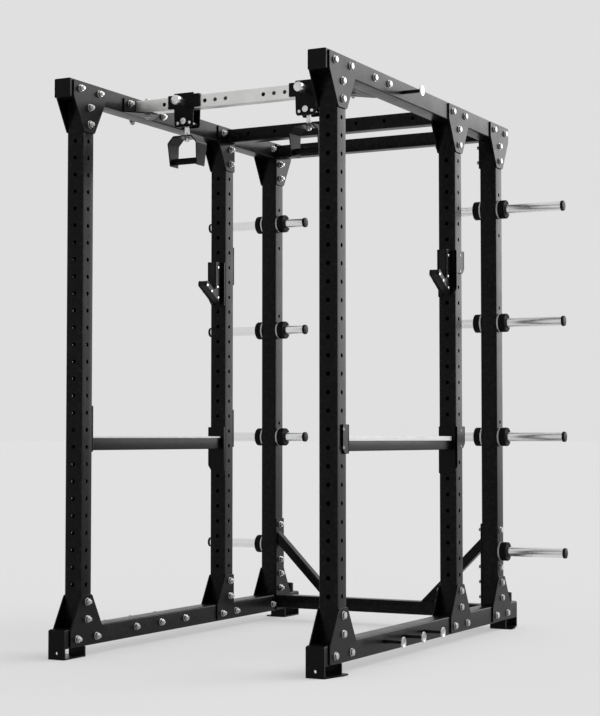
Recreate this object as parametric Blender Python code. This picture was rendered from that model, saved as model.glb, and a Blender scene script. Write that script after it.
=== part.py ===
"""Power cage: a bolted rack of square tube with hooks, safety bars, plate pegs and sliding pull-up handles.

Metres, +Z up, the user faces +Y. The floor is z = 0. Inside the script y is counted from the front face
of the front uprights; the empty "cage" then moves everything so that the footprint is centred on x = y = 0.
"""
import math

import bmesh
import bpy
from mathutils import Matrix, Vector

# Driving dimensions of the frame.
TUBE = 0.075
WALL = 0.003
CORNER = 0.005
PITCH = 0.0675
GAP = 0.0003
HALF_TRACK = 0.5613
UPRIGHT_Y = {"front": TUBE / 2, "middle": 1.1256 + TUBE / 2, "rear": 1.6058 + TUBE / 2}
GROUND_CLEARANCE = 0.041
RAIL_TOP = GROUND_CLEARANCE + TUBE
UPRIGHT_LENGTH = 2.080
TOP_RAIL_Z = RAIL_TOP + UPRIGHT_LENGTH
FIRST_HOLE = 0.2815
TOP_RAIL_Y = (-0.089, 1.750)
BOTTOM_RAIL_Y = (-0.098, 1.838)
FOOT_PLATE = 0.008
FOOT_DEPTH = 0.1445
FOOT_BASE = 0.006
EDGE = 0.0005
FOOT_FLARE = 0.028
FOOT_PLATE_TOP = 0.114
FOOTPRINT_Y = (BOTTOM_RAIL_Y[0] - GAP - FOOT_PLATE, BOTTOM_RAIL_Y[1] + GAP + FOOT_PLATE)
INNER_X = HALF_TRACK - TUBE / 2
OUTER_X = HALF_TRACK + TUBE / 2

# Corner gussets and their bolts. Heights are measured from the end of the upright, into the rail.
GUSSET_PLATE = 0.006
GUSSET_HALF_TOP = 0.110
GUSSET_HALF_TIP = 0.036
GUSSET_SHOULDER = 0.008
GUSSET_RISE = 0.071
GUSSET_DROP = 0.125
BOLT_RADIUS = 0.008
BOLT_HOLE = 0.009
BOLT_HEAD = 0.010
BOLT_END = 0.026
BOLT_SIDES = 6
BOLT_HEAD_RADIUS = 0.0138
RAIL_BOLT_Y = 0.066
RAIL_BOLT_RISE = 0.042

# Cross beams: 60 mm tube; the front one is a lower bar of satin steel.
BEAM = 0.060
BEAM_Z = TOP_RAIL_Z + 0.002
CROSSBAR_DEPTH = 0.045
CROSSBAR_HEIGHT = 0.055
CROSSBAR_Y = 0.393
CROSSBAR_Z = TOP_RAIL_Z + 0.033
CROSSBAR_BOLT_X = 0.475
BRACKET_HALF = 0.1075
SHELF = 0.005
SHELF_TIP = 0.4347
CROSSBAR_HOLE_FIRST = 0.0873
CROSSBAR_HOLE_STEP = 0.0484
CROSSBAR_HOLES = 7
CROSSBAR_HOLE = 0.0085
END_PLATE = 0.006
FLOOR_BEAM_Z = 0.055
BRACE = 0.040
BRACE_TOP = 0.387
BRACE_PLATE_TOP = 0.475
BRACE_BOLT_Z = (0.281, 0.4465)
BRACE_PLATE_X = (0.224, 0.286)

# Plate pegs, bar holders and band pegs.
PEG_HEIGHTS = (0.352, 0.8625, 1.373, 1.884)
PEG_RADIUS = 0.0215
PEG_SIDES = 16
PEG_OUT = 0.3072
PEG_IN = 0.1458
RING_RADIUS = 0.0425
RING = 0.007
COLLAR_RADIUS = 0.0415
COLLAR = 0.030
CAP_RADIUS = 0.023
CAP = 0.012
HOLDER_Y = 1.795
HOLDER_RADIUS = 0.030
HOLDER_BORE = 0.0265
HOLDER_HEIGHT = 0.040
BAND_PEG_Y = (0.400, 0.593, 0.786)
BAND_PEG_Z = 0.082
BAND_ROD = 0.0075
BAND_STUD = 0.006
BAND_NUT = 0.012
BAND_DISC = 0.0215
BAND_DISC_PLATE = 0.005
BAND_REACH = 0.0842

# Hooks and safety bars: folded brackets with two pins in the side holes of an upright.
BRACKET = 0.0075
BRACKET_NARROW = 0.066
BRACKET_SLANT = 0.018
FOLD = 0.001
PIN_RADIUS = 0.0078
PIN_HOLE = 0.009
PIN_REACH = 0.018
HOOK_HOLES = (19, 20)
HOOK_WIDTH = 0.044
SAFETY_HOLES = (8, 9)
SAFETY_WIDTH = 0.040
SAFETY_Z = (0.808, 0.8645)

# Sliding handles on the crossbar.
TROLLEY_X = CROSSBAR_HOLE_FIRST + 4 * CROSSBAR_HOLE_STEP
TROLLEY_GAP = 0.0015
TROLLEY_PLATE = 0.005
TROLLEY_WING = 0.075
TROLLEY_WING_Z = (2.206, 2.261)
TROLLEY_CHEEK = 0.046
TROLLEY_CHEEK_Z = (2.128, 2.268)
PIVOT_Z = 2.1515
SPACER_BOLT_Z = 2.144
SPACER_BOLT_X = 0.028
KNOB_RADIUS = 0.0192
KNOB_REACH = 0.069
HANDLE_TOP = 2.091
HANDLE_SHOULDER = 2.062
HANDLE_BOTTOM = 1.969
HANDLE_GRIP_Z = 1.9906
HANDLE_HALF_LOW = 0.0645
HANDLE_HALF = 0.0695
HANDLE_HALF_TOP = 0.043
HANDLE_STRAP = 0.005
HANDLE_DEPTHS = (0.0415, 0.030)
GRIP_RADIUS = 0.013
RIGHT_HANDLE_TURN = math.radians(-5)

SIDES = {"left": -1, "right": 1}


def hole_z(index):
    """Height of a pin hole; index 0 is the lowest one above the gussets."""
    return FIRST_HOLE + index * PITCH


def material(name, color, roughness, metallic):
    found = bpy.data.materials.get(name)
    if found:
        return found
    made = bpy.data.materials.new(name)
    made.use_nodes = True
    shader = made.node_tree.nodes["Principled BSDF"]
    shader.inputs["Base Color"].default_value = (*color, 1)
    shader.inputs["Roughness"].default_value = roughness
    shader.inputs["Metallic"].default_value = metallic
    return made


def black_steel():
    return material("black_powder_coat", (0.012, 0.012, 0.013), 0.5, 0.0)


def satin_steel():
    return material("satin_steel", (0.62, 0.62, 0.61), 0.32, 1.0)


def chrome():
    return material("chrome", (0.75, 0.75, 0.75), 0.12, 1.0)


def collection(name):
    made = bpy.data.collections.new(name)
    bpy.context.scene.collection.children.link(made)
    return made


def mesh_object(name, bm):
    mesh = bpy.data.meshes.new(name)
    bmesh.ops.recalc_face_normals(bm, faces=bm.faces)
    bm.to_mesh(mesh)
    bm.free()
    made = bpy.data.objects.new(name, mesh)
    CUTTERS.objects.link(made)
    return made


def box(low, high, bevel=0.0, along=None):
    """A box between two corners. A bevel rounds the four edges that run along one axis."""
    bm = bmesh.new()
    bmesh.ops.create_cube(bm, size=1)
    low = Vector(low)
    high = Vector(high)
    bm.transform(Matrix.Translation((low + high) / 2) @ Matrix.Diagonal((*(high - low), 1)))
    if bevel:
        edges = [e for e in bm.edges if abs((e.verts[0].co - e.verts[1].co)[along]) > 1e-6]
        bmesh.ops.bevel(bm, geom=edges, offset=bevel, segments=2, profile=0.5, affect="EDGES")
    return mesh_object("box", bm)


def cylinder(centre, axis, length, radius, sides, end_radius=None):
    """A cylinder or cone centred on a point, with one flat of its polygon square to the world axes."""
    bm = bmesh.new()
    bmesh.ops.create_cone(
        bm,
        cap_ends=True,
        segments=sides,
        radius1=radius,
        radius2=radius if end_radius is None else end_radius,
        depth=length,
        matrix=Matrix.Translation(centre) @ Vector(axis).to_track_quat("Z", "Y").to_matrix().to_4x4(),
    )
    return mesh_object("cylinder", bm)


def prism(outline, axis, low, high):
    """A flat outline in the plane square to an axis (0 = x, 1 = y, 2 = z), thickened from low to high."""
    curve = bpy.data.curves.new("outline", "CURVE")
    curve.dimensions = "2D"
    curve.fill_mode = "BOTH"
    curve.extrude = (high - low) / 2
    spline = curve.splines.new("POLY")
    spline.points.add(len(outline) - 1)
    for point, (u, v) in zip(spline.points, outline):
        point.co = (u, v, 0, 1)
    spline.use_cyclic_u = True
    guide = bpy.data.objects.new("outline", curve)
    CUTTERS.objects.link(guide)
    graph = bpy.context.evaluated_depsgraph_get()
    bm = bmesh.new()
    bm.from_mesh(bpy.data.meshes.new_from_object(guide.evaluated_get(graph)))
    bpy.data.objects.remove(guide)
    bmesh.ops.remove_doubles(bm, verts=bm.verts, dist=1e-6)
    turn = {
        0: Matrix(((0, 0, 1), (1, 0, 0), (0, 1, 0))),
        1: Matrix(((1, 0, 0), (0, 0, 1), (0, 1, 0))),
        2: Matrix.Identity(3),
    }[axis]
    middle = Vector((0, 0, 0))
    middle[axis] = (low + high) / 2
    bm.transform(Matrix.Translation(middle) @ turn.to_4x4())
    return mesh_object("prism", bm)


def combine(base, others, operation):
    """Applies one exact Boolean of the base with a group of closed solids, which are then removed."""
    group = bpy.data.collections.new("group")
    for other in others:
        group.objects.link(other)
    modifier = base.modifiers.new(operation, "BOOLEAN")
    modifier.operation = operation
    modifier.operand_type = "COLLECTION"
    modifier.collection = group
    graph = bpy.context.evaluated_depsgraph_get()
    mesh = bpy.data.meshes.new_from_object(base.evaluated_get(graph))
    base.modifiers.clear()
    base.data = mesh
    for other in others:
        bpy.data.objects.remove(other)
    bpy.data.collections.remove(group)
    return base


def fuse(base, *others):
    return combine(base, others, "UNION")


def cut(base, *others):
    return combine(base, others, "DIFFERENCE") if others else base


def part(name, solid, finish, origin=(0, 0, 0), parent=None):
    """Names a solid as one sub-part, with its origin where it turns, slides or is fixed."""
    solid.name = name
    solid.data.name = name
    origin = Vector(origin)
    solid.data.transform(Matrix.Translation(-origin))
    solid.location = origin
    solid.parent = parent or CAGE
    solid.data.materials.clear()
    solid.data.materials.append(finish)
    solid.data.shade_smooth()
    solid.data.set_sharp_from_angle(angle=math.radians(35))
    CUTTERS.objects.unlink(solid)
    PARTS.objects.link(solid)
    return solid


def tube(low, high, axis, capped=False):
    """Square tube with rounded outer corners, open or capped at both ends."""
    outer = box(low, high, CORNER, axis)
    inner_low = [v + WALL for v in low]
    inner_high = [v - WALL for v in high]
    if not capped:
        inner_low[axis] = low[axis] - 0.01
        inner_high[axis] = high[axis] + 0.01
    return cut(outer, box(inner_low, inner_high))


def side_hole(x, y, z, radius, length=TUBE + 0.02, sides=BOLT_SIDES):
    return cylinder((x, y, z), (1, 0, 0), length, radius, sides)


def through_bolt(way, inner, outer, y, z):
    """Bolt along x: a head on the outboard face, a nut and the bolt's end on the inboard one."""
    start = inner - BOLT_END
    stop = outer + BOLT_HEAD / 2
    nut_x = way * (inner - BOLT_HEAD / 2)
    head_x = way * (outer + BOLT_HEAD / 2)
    return [
        cylinder((way * (start + stop) / 2, y, z), (1, 0, 0), stop - start, BOLT_RADIUS, BOLT_SIDES),
        cylinder((nut_x, y, z), (1, 0, 0), BOLT_HEAD, BOLT_HEAD_RADIUS, 6),
        cylinder((head_x, y, z), (1, 0, 0), BOLT_HEAD, BOLT_HEAD_RADIUS, 6),
    ]


def upright_bolt_heights():
    """The gusset bolts use the upright's own hole grid: two holes at each end."""
    return [hole_z(index) for index in (-2, -1, 27, 28)]


def build_upright(row, side):
    x = SIDES[side] * HALF_TRACK
    y = UPRIGHT_Y[row]
    low = (x - TUBE / 2, y - TUBE / 2, RAIL_TOP + GAP)
    high = (x + TUBE / 2, y + TUBE / 2, TOP_RAIL_Z - GAP)
    holes = [side_hole(x, y, z, BOLT_HOLE) for z in upright_bolt_heights()]
    pins = {"front": SAFETY_HOLES, "middle": SAFETY_HOLES + HOOK_HOLES, "rear": ()}[row]
    outer_wall = SIDES[side] * OUTER_X
    for index in pins:
        holes.append(side_hole(outer_wall, y, hole_z(index), PIN_HOLE, 0.03, 12))
    if row == "rear":
        holes.append(side_hole(outer_wall, y, PEG_HEIGHTS[0], PEG_RADIUS + GAP, 0.03, PEG_SIDES))
        holes += [side_hole(x, y, z, PEG_RADIUS + GAP, sides=PEG_SIDES) for z in PEG_HEIGHTS[1:]]
        holes += [side_hole(x, y, z, BOLT_HOLE) for z in BRACE_BOLT_Z]
    part(f"{row}_upright_{side}", cut(tube(low, high, 2), *holes), black_steel(), (x, y, low[2]))


def build_rail(level, side):
    x = SIDES[side] * HALF_TRACK
    ends = TOP_RAIL_Y if level == "top" else BOTTOM_RAIL_Y
    base = TOP_RAIL_Z if level == "top" else GROUND_CLEARANCE
    bolt_z = TOP_RAIL_Z + RAIL_BOLT_RISE if level == "top" else RAIL_TOP - RAIL_BOLT_RISE
    solid = tube((x - TUBE / 2, ends[0], base), (x + TUBE / 2, ends[1], base + TUBE), 1, capped=True)
    holes = []
    for row_y in UPRIGHT_Y.values():
        holes.append(side_hole(x, row_y - RAIL_BOLT_Y, bolt_z, BOLT_HOLE))
        holes.append(side_hole(x, row_y + RAIL_BOLT_Y, bolt_z, BOLT_HOLE))
    if level == "bottom":
        holes += [side_hole(x, y, BAND_PEG_Z, BAND_STUD + 0.001) for y in BAND_PEG_Y]
    else:
        holes += [side_hole(x, CROSSBAR_Y + y, bolt_z, BOLT_HOLE) for y in (-RAIL_BOLT_Y, RAIL_BOLT_Y)]
    part(f"{level}_rail_{side}", cut(solid, *holes), black_steel(), (x, ends[0], base))


def gusset_outline(row, level):
    """Side view of a gusset plate, as (y, z): the tip lies on the upright and the wide part on the rail."""
    flip = 1 if level == "top" else -1
    edge = TOP_RAIL_Z if level == "top" else RAIL_TOP
    half = [
        (GUSSET_HALF_TIP, -GUSSET_DROP),
        (GUSSET_HALF_TOP, GUSSET_SHOULDER),
        (GUSSET_HALF_TOP, GUSSET_RISE),
    ]
    outline = half + [(-u, w) for u, w in reversed(half)]
    return [(UPRIGHT_Y[row] + u, edge + w * flip) for u, w in outline]


def inner_outline(row, level):
    """Side view of an inner plate: behind the front joints it is flared on one side only."""
    if row == "front":
        return gusset_outline(row, level)
    flip = 1 if level == "top" else -1
    edge = TOP_RAIL_Z if level == "top" else RAIL_TOP
    flare = -1 if row == "middle" else 1
    outline = [
        (GUSSET_HALF_TIP, -GUSSET_DROP),
        (GUSSET_HALF_TOP, GUSSET_SHOULDER),
        (GUSSET_HALF_TOP, GUSSET_RISE),
        (-TUBE / 2, GUSSET_RISE),
        (-TUBE / 2, -GUSSET_DROP),
    ]
    return [(UPRIGHT_Y[row] + u * flare, edge + w * flip) for u, w in outline]


def build_gussets(level, row, side):
    """Gusset plates on both faces of a joint, clamped by four through bolts.

    At the rear of the bottom rail the brace's own plate is the inner one. A bolt that an inner
    plate doesn't reach has its nut on the bare rail.
    """
    way = SIDES[side]
    y = UPRIGHT_Y[row]
    upright_bolts = [hole_z(index) for index in ((27, 28) if level == "top" else (-1, -2))]
    rail_bolt_z = TOP_RAIL_Z + RAIL_BOLT_RISE if level == "top" else RAIL_TOP - RAIL_BOLT_RISE
    inner = INNER_X - GAP - GUSSET_PLATE
    outer = OUTER_X + GAP + GUSSET_PLATE
    outline = gusset_outline(row, level)
    outer_x = sorted((way * (OUTER_X + GAP), way * outer))
    solid = prism(outline, 0, *outer_x)
    others = []
    upright_start = inner + 0.001
    front_start = INNER_X - GAP if row == "rear" else upright_start
    rear_start = INNER_X - GAP if row == "middle" else upright_start
    if (level, row) == ("bottom", "rear"):
        upright_start = inner - GAP
        rear_start = inner - GAP
    else:
        inner_x = sorted((way * (INNER_X - GAP), way * inner))
        others.append(prism(inner_outline(row, level), 0, *inner_x))
    for z in upright_bolts:
        others += through_bolt(way, upright_start, outer - 0.001, y, z)
    others += through_bolt(way, front_start, outer - 0.001, y - RAIL_BOLT_Y, rail_bolt_z)
    others += through_bolt(way, rear_start, outer - 0.001, y + RAIL_BOLT_Y, rail_bolt_z)
    solid = fuse(solid, *others)
    edge = TOP_RAIL_Z if level == "top" else RAIL_TOP
    part(f"{level}_gussets_{row}_{side}", solid, black_steel(), (way * HALF_TRACK, y, edge))


def beam_span():
    return INNER_X - GUSSET_PLATE - 2 * GAP


def build_cross_beams():
    span = beam_span()
    levels = {
        "middle_top_beam": ("middle", BEAM_Z),
        "rear_top_beam": ("rear", BEAM_Z),
        "rear_floor_beam": ("rear", FLOOR_BEAM_Z),
    }
    for name, (row, z) in levels.items():
        y = UPRIGHT_Y[row] - TUBE / 2
        solid = tube((-span, y, z), (span, y + BEAM, z + BEAM), 0)
        part(name, solid, black_steel(), (0, y + BEAM / 2, z + BEAM / 2))


def build_crossbar():
    """Satin steel bar for the trolleys, with locking holes, on a bolted bracket with a shelf at each end."""
    deep = CROSSBAR_DEPTH / 2
    high = CROSSBAR_HEIGHT / 2
    span = INNER_X - GAP
    bottom = CROSSBAR_Z - high
    bolt_z = TOP_RAIL_Z + RAIL_BOLT_RISE
    solid = tube((-span, CROSSBAR_Y - deep, bottom), (span, CROSSBAR_Y + deep, bottom + 2 * high), 0)
    fittings = []
    holes = []
    for way in (-1, 1):
        ends = sorted((way * span, way * (span - END_PLATE)))
        plate_low = (ends[0], CROSSBAR_Y - BRACKET_HALF, bottom - SHELF)
        fittings.append(box(plate_low, (ends[1], CROSSBAR_Y + BRACKET_HALF, CROSSBAR_Z + high)))
        shelf = [
            (way * (span - 0.001), CROSSBAR_Y - BRACKET_HALF),
            (way * SHELF_TIP, CROSSBAR_Y - deep),
            (way * SHELF_TIP, CROSSBAR_Y + deep),
            (way * (span - 0.001), CROSSBAR_Y + BRACKET_HALF),
        ]
        fittings.append(prism(shelf, 2, bottom - SHELF, bottom + 0.001))
        for y in (CROSSBAR_Y - RAIL_BOLT_Y, CROSSBAR_Y + RAIL_BOLT_Y):
            fittings += through_bolt(way, span - END_PLATE + 0.001, OUTER_X + GAP, y, bolt_z)
        place = Vector((way * CROSSBAR_BOLT_X, CROSSBAR_Y, 0))
        heights = {
            0.006: (bottom - SHELF - 0.016, CROSSBAR_Z + high + 0.004),
            0.0115: (bottom - SHELF - 0.010, bottom - SHELF + 0.001),
            0.0116: (CROSSBAR_Z + high - 0.001, CROSSBAR_Z + high + 0.008),
        }
        for radius, (low, top) in heights.items():
            centre = place + Vector((0, 0, (low + top) / 2))
            fittings.append(cylinder(centre, (0, 0, 1), top - low, radius, 6))
        for index in range(CROSSBAR_HOLES):
            x = way * (CROSSBAR_HOLE_FIRST + index * CROSSBAR_HOLE_STEP)
            holes.append(cylinder((x, CROSSBAR_Y - deep, CROSSBAR_Z), (0, 1, 0), 0.02, CROSSBAR_HOLE, 8))
    solid = cut(fuse(solid, *fittings), *holes)
    part("front_crossbar", solid, satin_steel(), (0, CROSSBAR_Y, CROSSBAR_Z))


def brace_profile(start, start_z, end_z, half, way):
    """Side view of the 45 degree brace, or of its inside: from an x near the upright down to a height."""
    across = half * math.sqrt(2)
    end = start - (start_z - end_z)
    return [
        (way * start, start_z - across),
        (way * start, start_z + across),
        (way * (end - across), end_z),
        (way * (end + across), end_z),
    ]


def build_brace(side):
    """Diagonal tube between a plate on the rear corner's inner face and one on the floor beam.

    The upright plate also serves as the inner gusset of the bottom rear corner.
    """
    way = SIDES[side]
    y = UPRIGHT_Y["rear"] - TUBE / 2 + BEAM / 2
    plate_x = INNER_X - GAP
    inner_x = plate_x - GUSSET_PLATE
    floor_top = FLOOR_BEAM_Z + BEAM + GAP
    start = plate_x - GUSSET_PLATE / 2
    outline = brace_profile(start, BRACE_TOP, floor_top + END_PLATE / 2, BRACE / 2, way)
    solid = prism(outline, 1, y - BRACE / 2, y + BRACE / 2)
    row_y = UPRIGHT_Y["rear"]
    slope = (GUSSET_HALF_TOP - GUSSET_HALF_TIP) / (GUSSET_DROP + GUSSET_SHOULDER)
    edge_z = RAIL_TOP + GUSSET_DROP - (TUBE / 2 - GUSSET_HALF_TIP) / slope
    corner = [
        (row_y - TUBE / 2, RAIL_TOP - GUSSET_RISE),
        (row_y - TUBE / 2, BRACE_PLATE_TOP),
        (row_y + TUBE / 2, BRACE_PLATE_TOP),
        (row_y + TUBE / 2, edge_z),
        (row_y + GUSSET_HALF_TOP, RAIL_TOP - GUSSET_SHOULDER),
        (row_y + GUSSET_HALF_TOP, RAIL_TOP - GUSSET_RISE),
    ]
    corner_plate = prism(corner, 0, *sorted((way * plate_x, way * inner_x)))
    floor_ends = sorted(way * x for x in BRACE_PLATE_X)
    floor_plate = box(
        (floor_ends[0], y - BEAM / 2, floor_top),
        (floor_ends[1], y + BEAM / 2, floor_top + END_PLATE),
    )
    bolts = []
    for z in BRACE_BOLT_Z:
        bolts += through_bolt(way, inner_x + 0.001, OUTER_X + GAP, row_y, z)
    inside = brace_profile(
        inner_x - 0.001, BRACE_TOP - GUSSET_PLATE / 2 - 0.001, floor_top + END_PLATE, BRACE / 2 - WALL, way
    )
    cutters = [
        prism(inside, 1, y - BRACE / 2 + WALL, y + BRACE / 2 - WALL),
        cylinder((way * inner_x, y, BRACE_TOP), (1, 0, 0), 0.02, 0.004, 8),
        side_hole(way * inner_x, row_y + RAIL_BOLT_Y, RAIL_TOP - RAIL_BOLT_RISE, BOLT_HOLE, 0.03),
    ]
    cutters += [side_hole(way * inner_x, row_y, hole_z(index), BOLT_HOLE, 0.03) for index in (-1, -2)]
    solid = cut(fuse(solid, corner_plate, floor_plate, *bolts), *cutters)
    part(f"rear_brace_{side}", solid, black_steel(), (way * plate_x, y, BRACE_TOP))


def build_foot(end, side):
    """Folded foot: a plate over the rail's end, a base that flares outwards, and a wall under the rail."""
    way = SIDES[side]
    into = 1 if end == "front" else -1
    outer = FOOTPRINT_Y[0] if end == "front" else FOOTPRINT_Y[1]
    x = way * HALF_TRACK
    half = TUBE / 2
    inner = outer + into * FOOT_DEPTH
    plate_y = sorted((outer + into * EDGE, outer + into * FOOT_PLATE))
    wall_y = sorted((inner - into * EDGE, inner - into * FOOT_PLATE))
    low_z = FOOT_BASE / 2
    plate = box((x - half + EDGE, plate_y[0], low_z), (x + half - EDGE, plate_y[1], FOOT_PLATE_TOP))
    wall = box((x - half + EDGE, wall_y[0], low_z), (x + half - EDGE, wall_y[1], GROUND_CLEARANCE - GAP))
    flare_x = way * (OUTER_X + FOOT_FLARE)
    outline = [
        (way * INNER_X, outer),
        (way * OUTER_X, outer),
        (flare_x, outer + into * (FOOT_DEPTH - 0.038)),
        (flare_x, inner),
        (way * INNER_X, inner),
    ]
    base = prism(outline, 2, 0, FOOT_BASE)
    holes = [cylinder((way * (OUTER_X + 0.010), inner - into * 0.025, 0), (0, 0, 1), 0.03, 0.006, 12)]
    if end == "front":
        holes.append(cylinder((x, outer, 0.025), (0, 1, 0), 0.03, 0.0065, 12))
    solid = cut(fuse(base, plate, wall), *holes)
    part(f"{end}_foot_{side}", solid, black_steel(), (x, outer, 0))


def build_plate_peg(side, index):
    """Chrome tube through a rear upright, with ring, rubber collar and end cap on each side of it.

    The lowest one stops at a lock nut inside the upright, since the brace's plate covers its inner face.
    The tube's inside is open to the inside of the upright.
    """
    way = SIDES[side]
    y = UPRIGHT_Y["rear"]
    z = PEG_HEIGHTS[index]
    outer_end = OUTER_X + PEG_OUT
    inner_end = INNER_X - PEG_IN if index else OUTER_X - WALL - 0.014

    def along(start, stop, radius):
        return cylinder((way * (start + stop) / 2, y, z), (1, 0, 0), abs(stop - start), radius, PEG_SIDES)

    pieces = [
        along(OUTER_X + GAP, OUTER_X + RING, RING_RADIUS),
        along(OUTER_X + RING - 0.001, OUTER_X + COLLAR, COLLAR_RADIUS),
        along(outer_end - CAP, outer_end, CAP_RADIUS),
    ]
    if index:
        pieces.append(along(INNER_X - GAP, INNER_X - RING, RING_RADIUS))
        pieces.append(along(INNER_X - RING + 0.001, INNER_X - COLLAR, COLLAR_RADIUS))
        pieces.append(along(inner_end, inner_end + CAP, CAP_RADIUS))
    else:
        pieces.append(along(inner_end, inner_end + 0.014 - GAP, 0.032))
    spindle = along(inner_end + 0.002, outer_end - 0.002, PEG_RADIUS)
    bore_end = inner_end + CAP + 0.002 if index else inner_end - 0.005
    cutters = [along(bore_end, outer_end - CAP - 0.002, PEG_RADIUS - WALL)]
    if index:
        vent = (way * HALF_TRACK, y, z - PEG_RADIUS)
        cutters.append(cylinder(vent, (0, 0, 1), 0.02, 0.004, 8))
    solid = cut(fuse(spindle, *pieces), *cutters)
    part(f"plate_peg_{side}_{index + 1}", solid, chrome(), (way * HALF_TRACK, y, z))


def build_bar_holder(side):
    x = SIDES[side] * HALF_TRACK
    low = RAIL_TOP + GAP
    cup = cylinder((x, HOLDER_Y, low + HOLDER_HEIGHT / 2), (0, 0, 1), HOLDER_HEIGHT, HOLDER_RADIUS, 24)
    bore_length = 2 * HOLDER_HEIGHT - 0.012
    bore = cylinder((x, HOLDER_Y, low + HOLDER_HEIGHT), (0, 0, 1), bore_length, HOLDER_BORE, 24)
    part(f"bar_holder_{side}", cut(cup, bore), black_steel(), (x, HOLDER_Y, low))


def build_band_peg(side, index):
    """Shouldered rod on a stud through the rail, with a nut on its inner face and a disc at the end."""
    way = SIDES[side]
    y = BAND_PEG_Y[index]
    inside = INNER_X - GAP
    reach = OUTER_X + BAND_REACH

    def along(start, stop, radius, sides):
        return cylinder((way * (start + stop) / 2, y, BAND_PEG_Z), (1, 0, 0), stop - start, radius, sides)

    rod = along(OUTER_X + GAP, reach - 0.002, BAND_ROD, 12)
    stud = along(inside - 0.014, OUTER_X + 0.004, BAND_STUD, BOLT_SIDES)
    nut = along(inside - 0.010, inside, BAND_NUT, 6)
    disc = along(reach - BAND_DISC_PLATE, reach, BAND_DISC, 16)
    solid = fuse(rod, stud, nut, disc)
    part(f"band_peg_{side}_{index + 1}", solid, black_steel(), (way * OUTER_X, y, BAND_PEG_Z))


def side_pins(way, y, indices):
    """Pins of a bracket, from its outboard plate into the upright's side holes."""
    start = OUTER_X - PIN_REACH
    stop = OUTER_X + GAP + BRACKET - 0.001
    x = way * (start + stop) / 2
    return [cylinder((x, y, hole_z(index)), (1, 0, 0), stop - start, PIN_RADIUS, 12) for index in indices]


def upright_plate(way, y_face, into, low, high, low_narrow, high_narrow):
    """Bracket plate on an upright's front or rear face; beyond high (or below low) it narrows inboard."""
    wide = OUTER_X + GAP + BRACKET - FOLD
    narrow = INNER_X + BRACKET_NARROW
    outline = [
        (way * INNER_X, low_narrow),
        (way * narrow, low_narrow),
        (way * wide, low),
        (way * wide, high),
        (way * narrow, high),
        (way * narrow, high_narrow),
        (way * INNER_X, high_narrow),
    ]
    ends = sorted((y_face, y_face + into * BRACKET))
    return prism(list(dict.fromkeys(outline)), 1, ends[0], ends[1])


def side_plate(way, outline):
    """Bracket plate beside an upright's outboard face, from its side view."""
    ends = sorted((way * (OUTER_X + GAP), way * (OUTER_X + GAP + BRACKET)))
    return prism(outline, 0, ends[0], ends[1])


def hook_outline(front):
    """Side view of the cradle and its raised tip, from the bracket's front face towards the user."""
    return [
        (front + 0.002, 1.458),
        (front + 0.002, 1.6515),
        (front - 0.0465, 1.6515),
        (front - 0.0465, 1.538),
        (front - 0.052, 1.5285),
        (front - 0.064, 1.526),
        (front - 0.076, 1.5305),
        (front - 0.116, 1.559),
        (front - 0.125, 1.560),
        (front - 0.131, 1.549),
        (front - 0.1295, 1.537),
    ]


def build_bar_hook(side):
    """Folded bracket around a middle upright's outer side, with the bar's cradle on its front plate."""
    way = SIDES[side]
    y = UPRIGHT_Y["middle"]
    near = y - TUBE / 2 - GAP
    far = y + TUBE / 2 + GAP
    front = near - BRACKET
    x = way * HALF_TRACK
    front_plate = upright_plate(way, near, -1, 1.485, 1.652, 1.454, 1.652)
    rear_plate = upright_plate(way, far, 1, 1.574, 1.652, 1.5555, 1.728)
    outline = [
        (front + FOLD, 1.488),
        (near + 0.002, 1.490),
        (near + 0.010, 1.558),
        (far + BRACKET - BRACKET_SLANT, 1.558),
        (far + BRACKET - FOLD, 1.577),
        (far + BRACKET - FOLD, 1.651),
        (front + FOLD, 1.651),
    ]
    hook = prism(hook_outline(front), 0, x - HOOK_WIDTH / 2, x + HOOK_WIDTH / 2)
    solid = fuse(side_plate(way, outline), front_plate, rear_plate, hook, *side_pins(way, y, HOOK_HOLES))
    slide = slide_empty(f"bar_hook_{side}_slide", (way * OUTER_X, y, hole_z(HOOK_HOLES[0])))
    part(f"bar_hook_{side}", solid, black_steel(), parent=slide)
    hang_from(slide, f"bar_hook_{side}")


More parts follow.
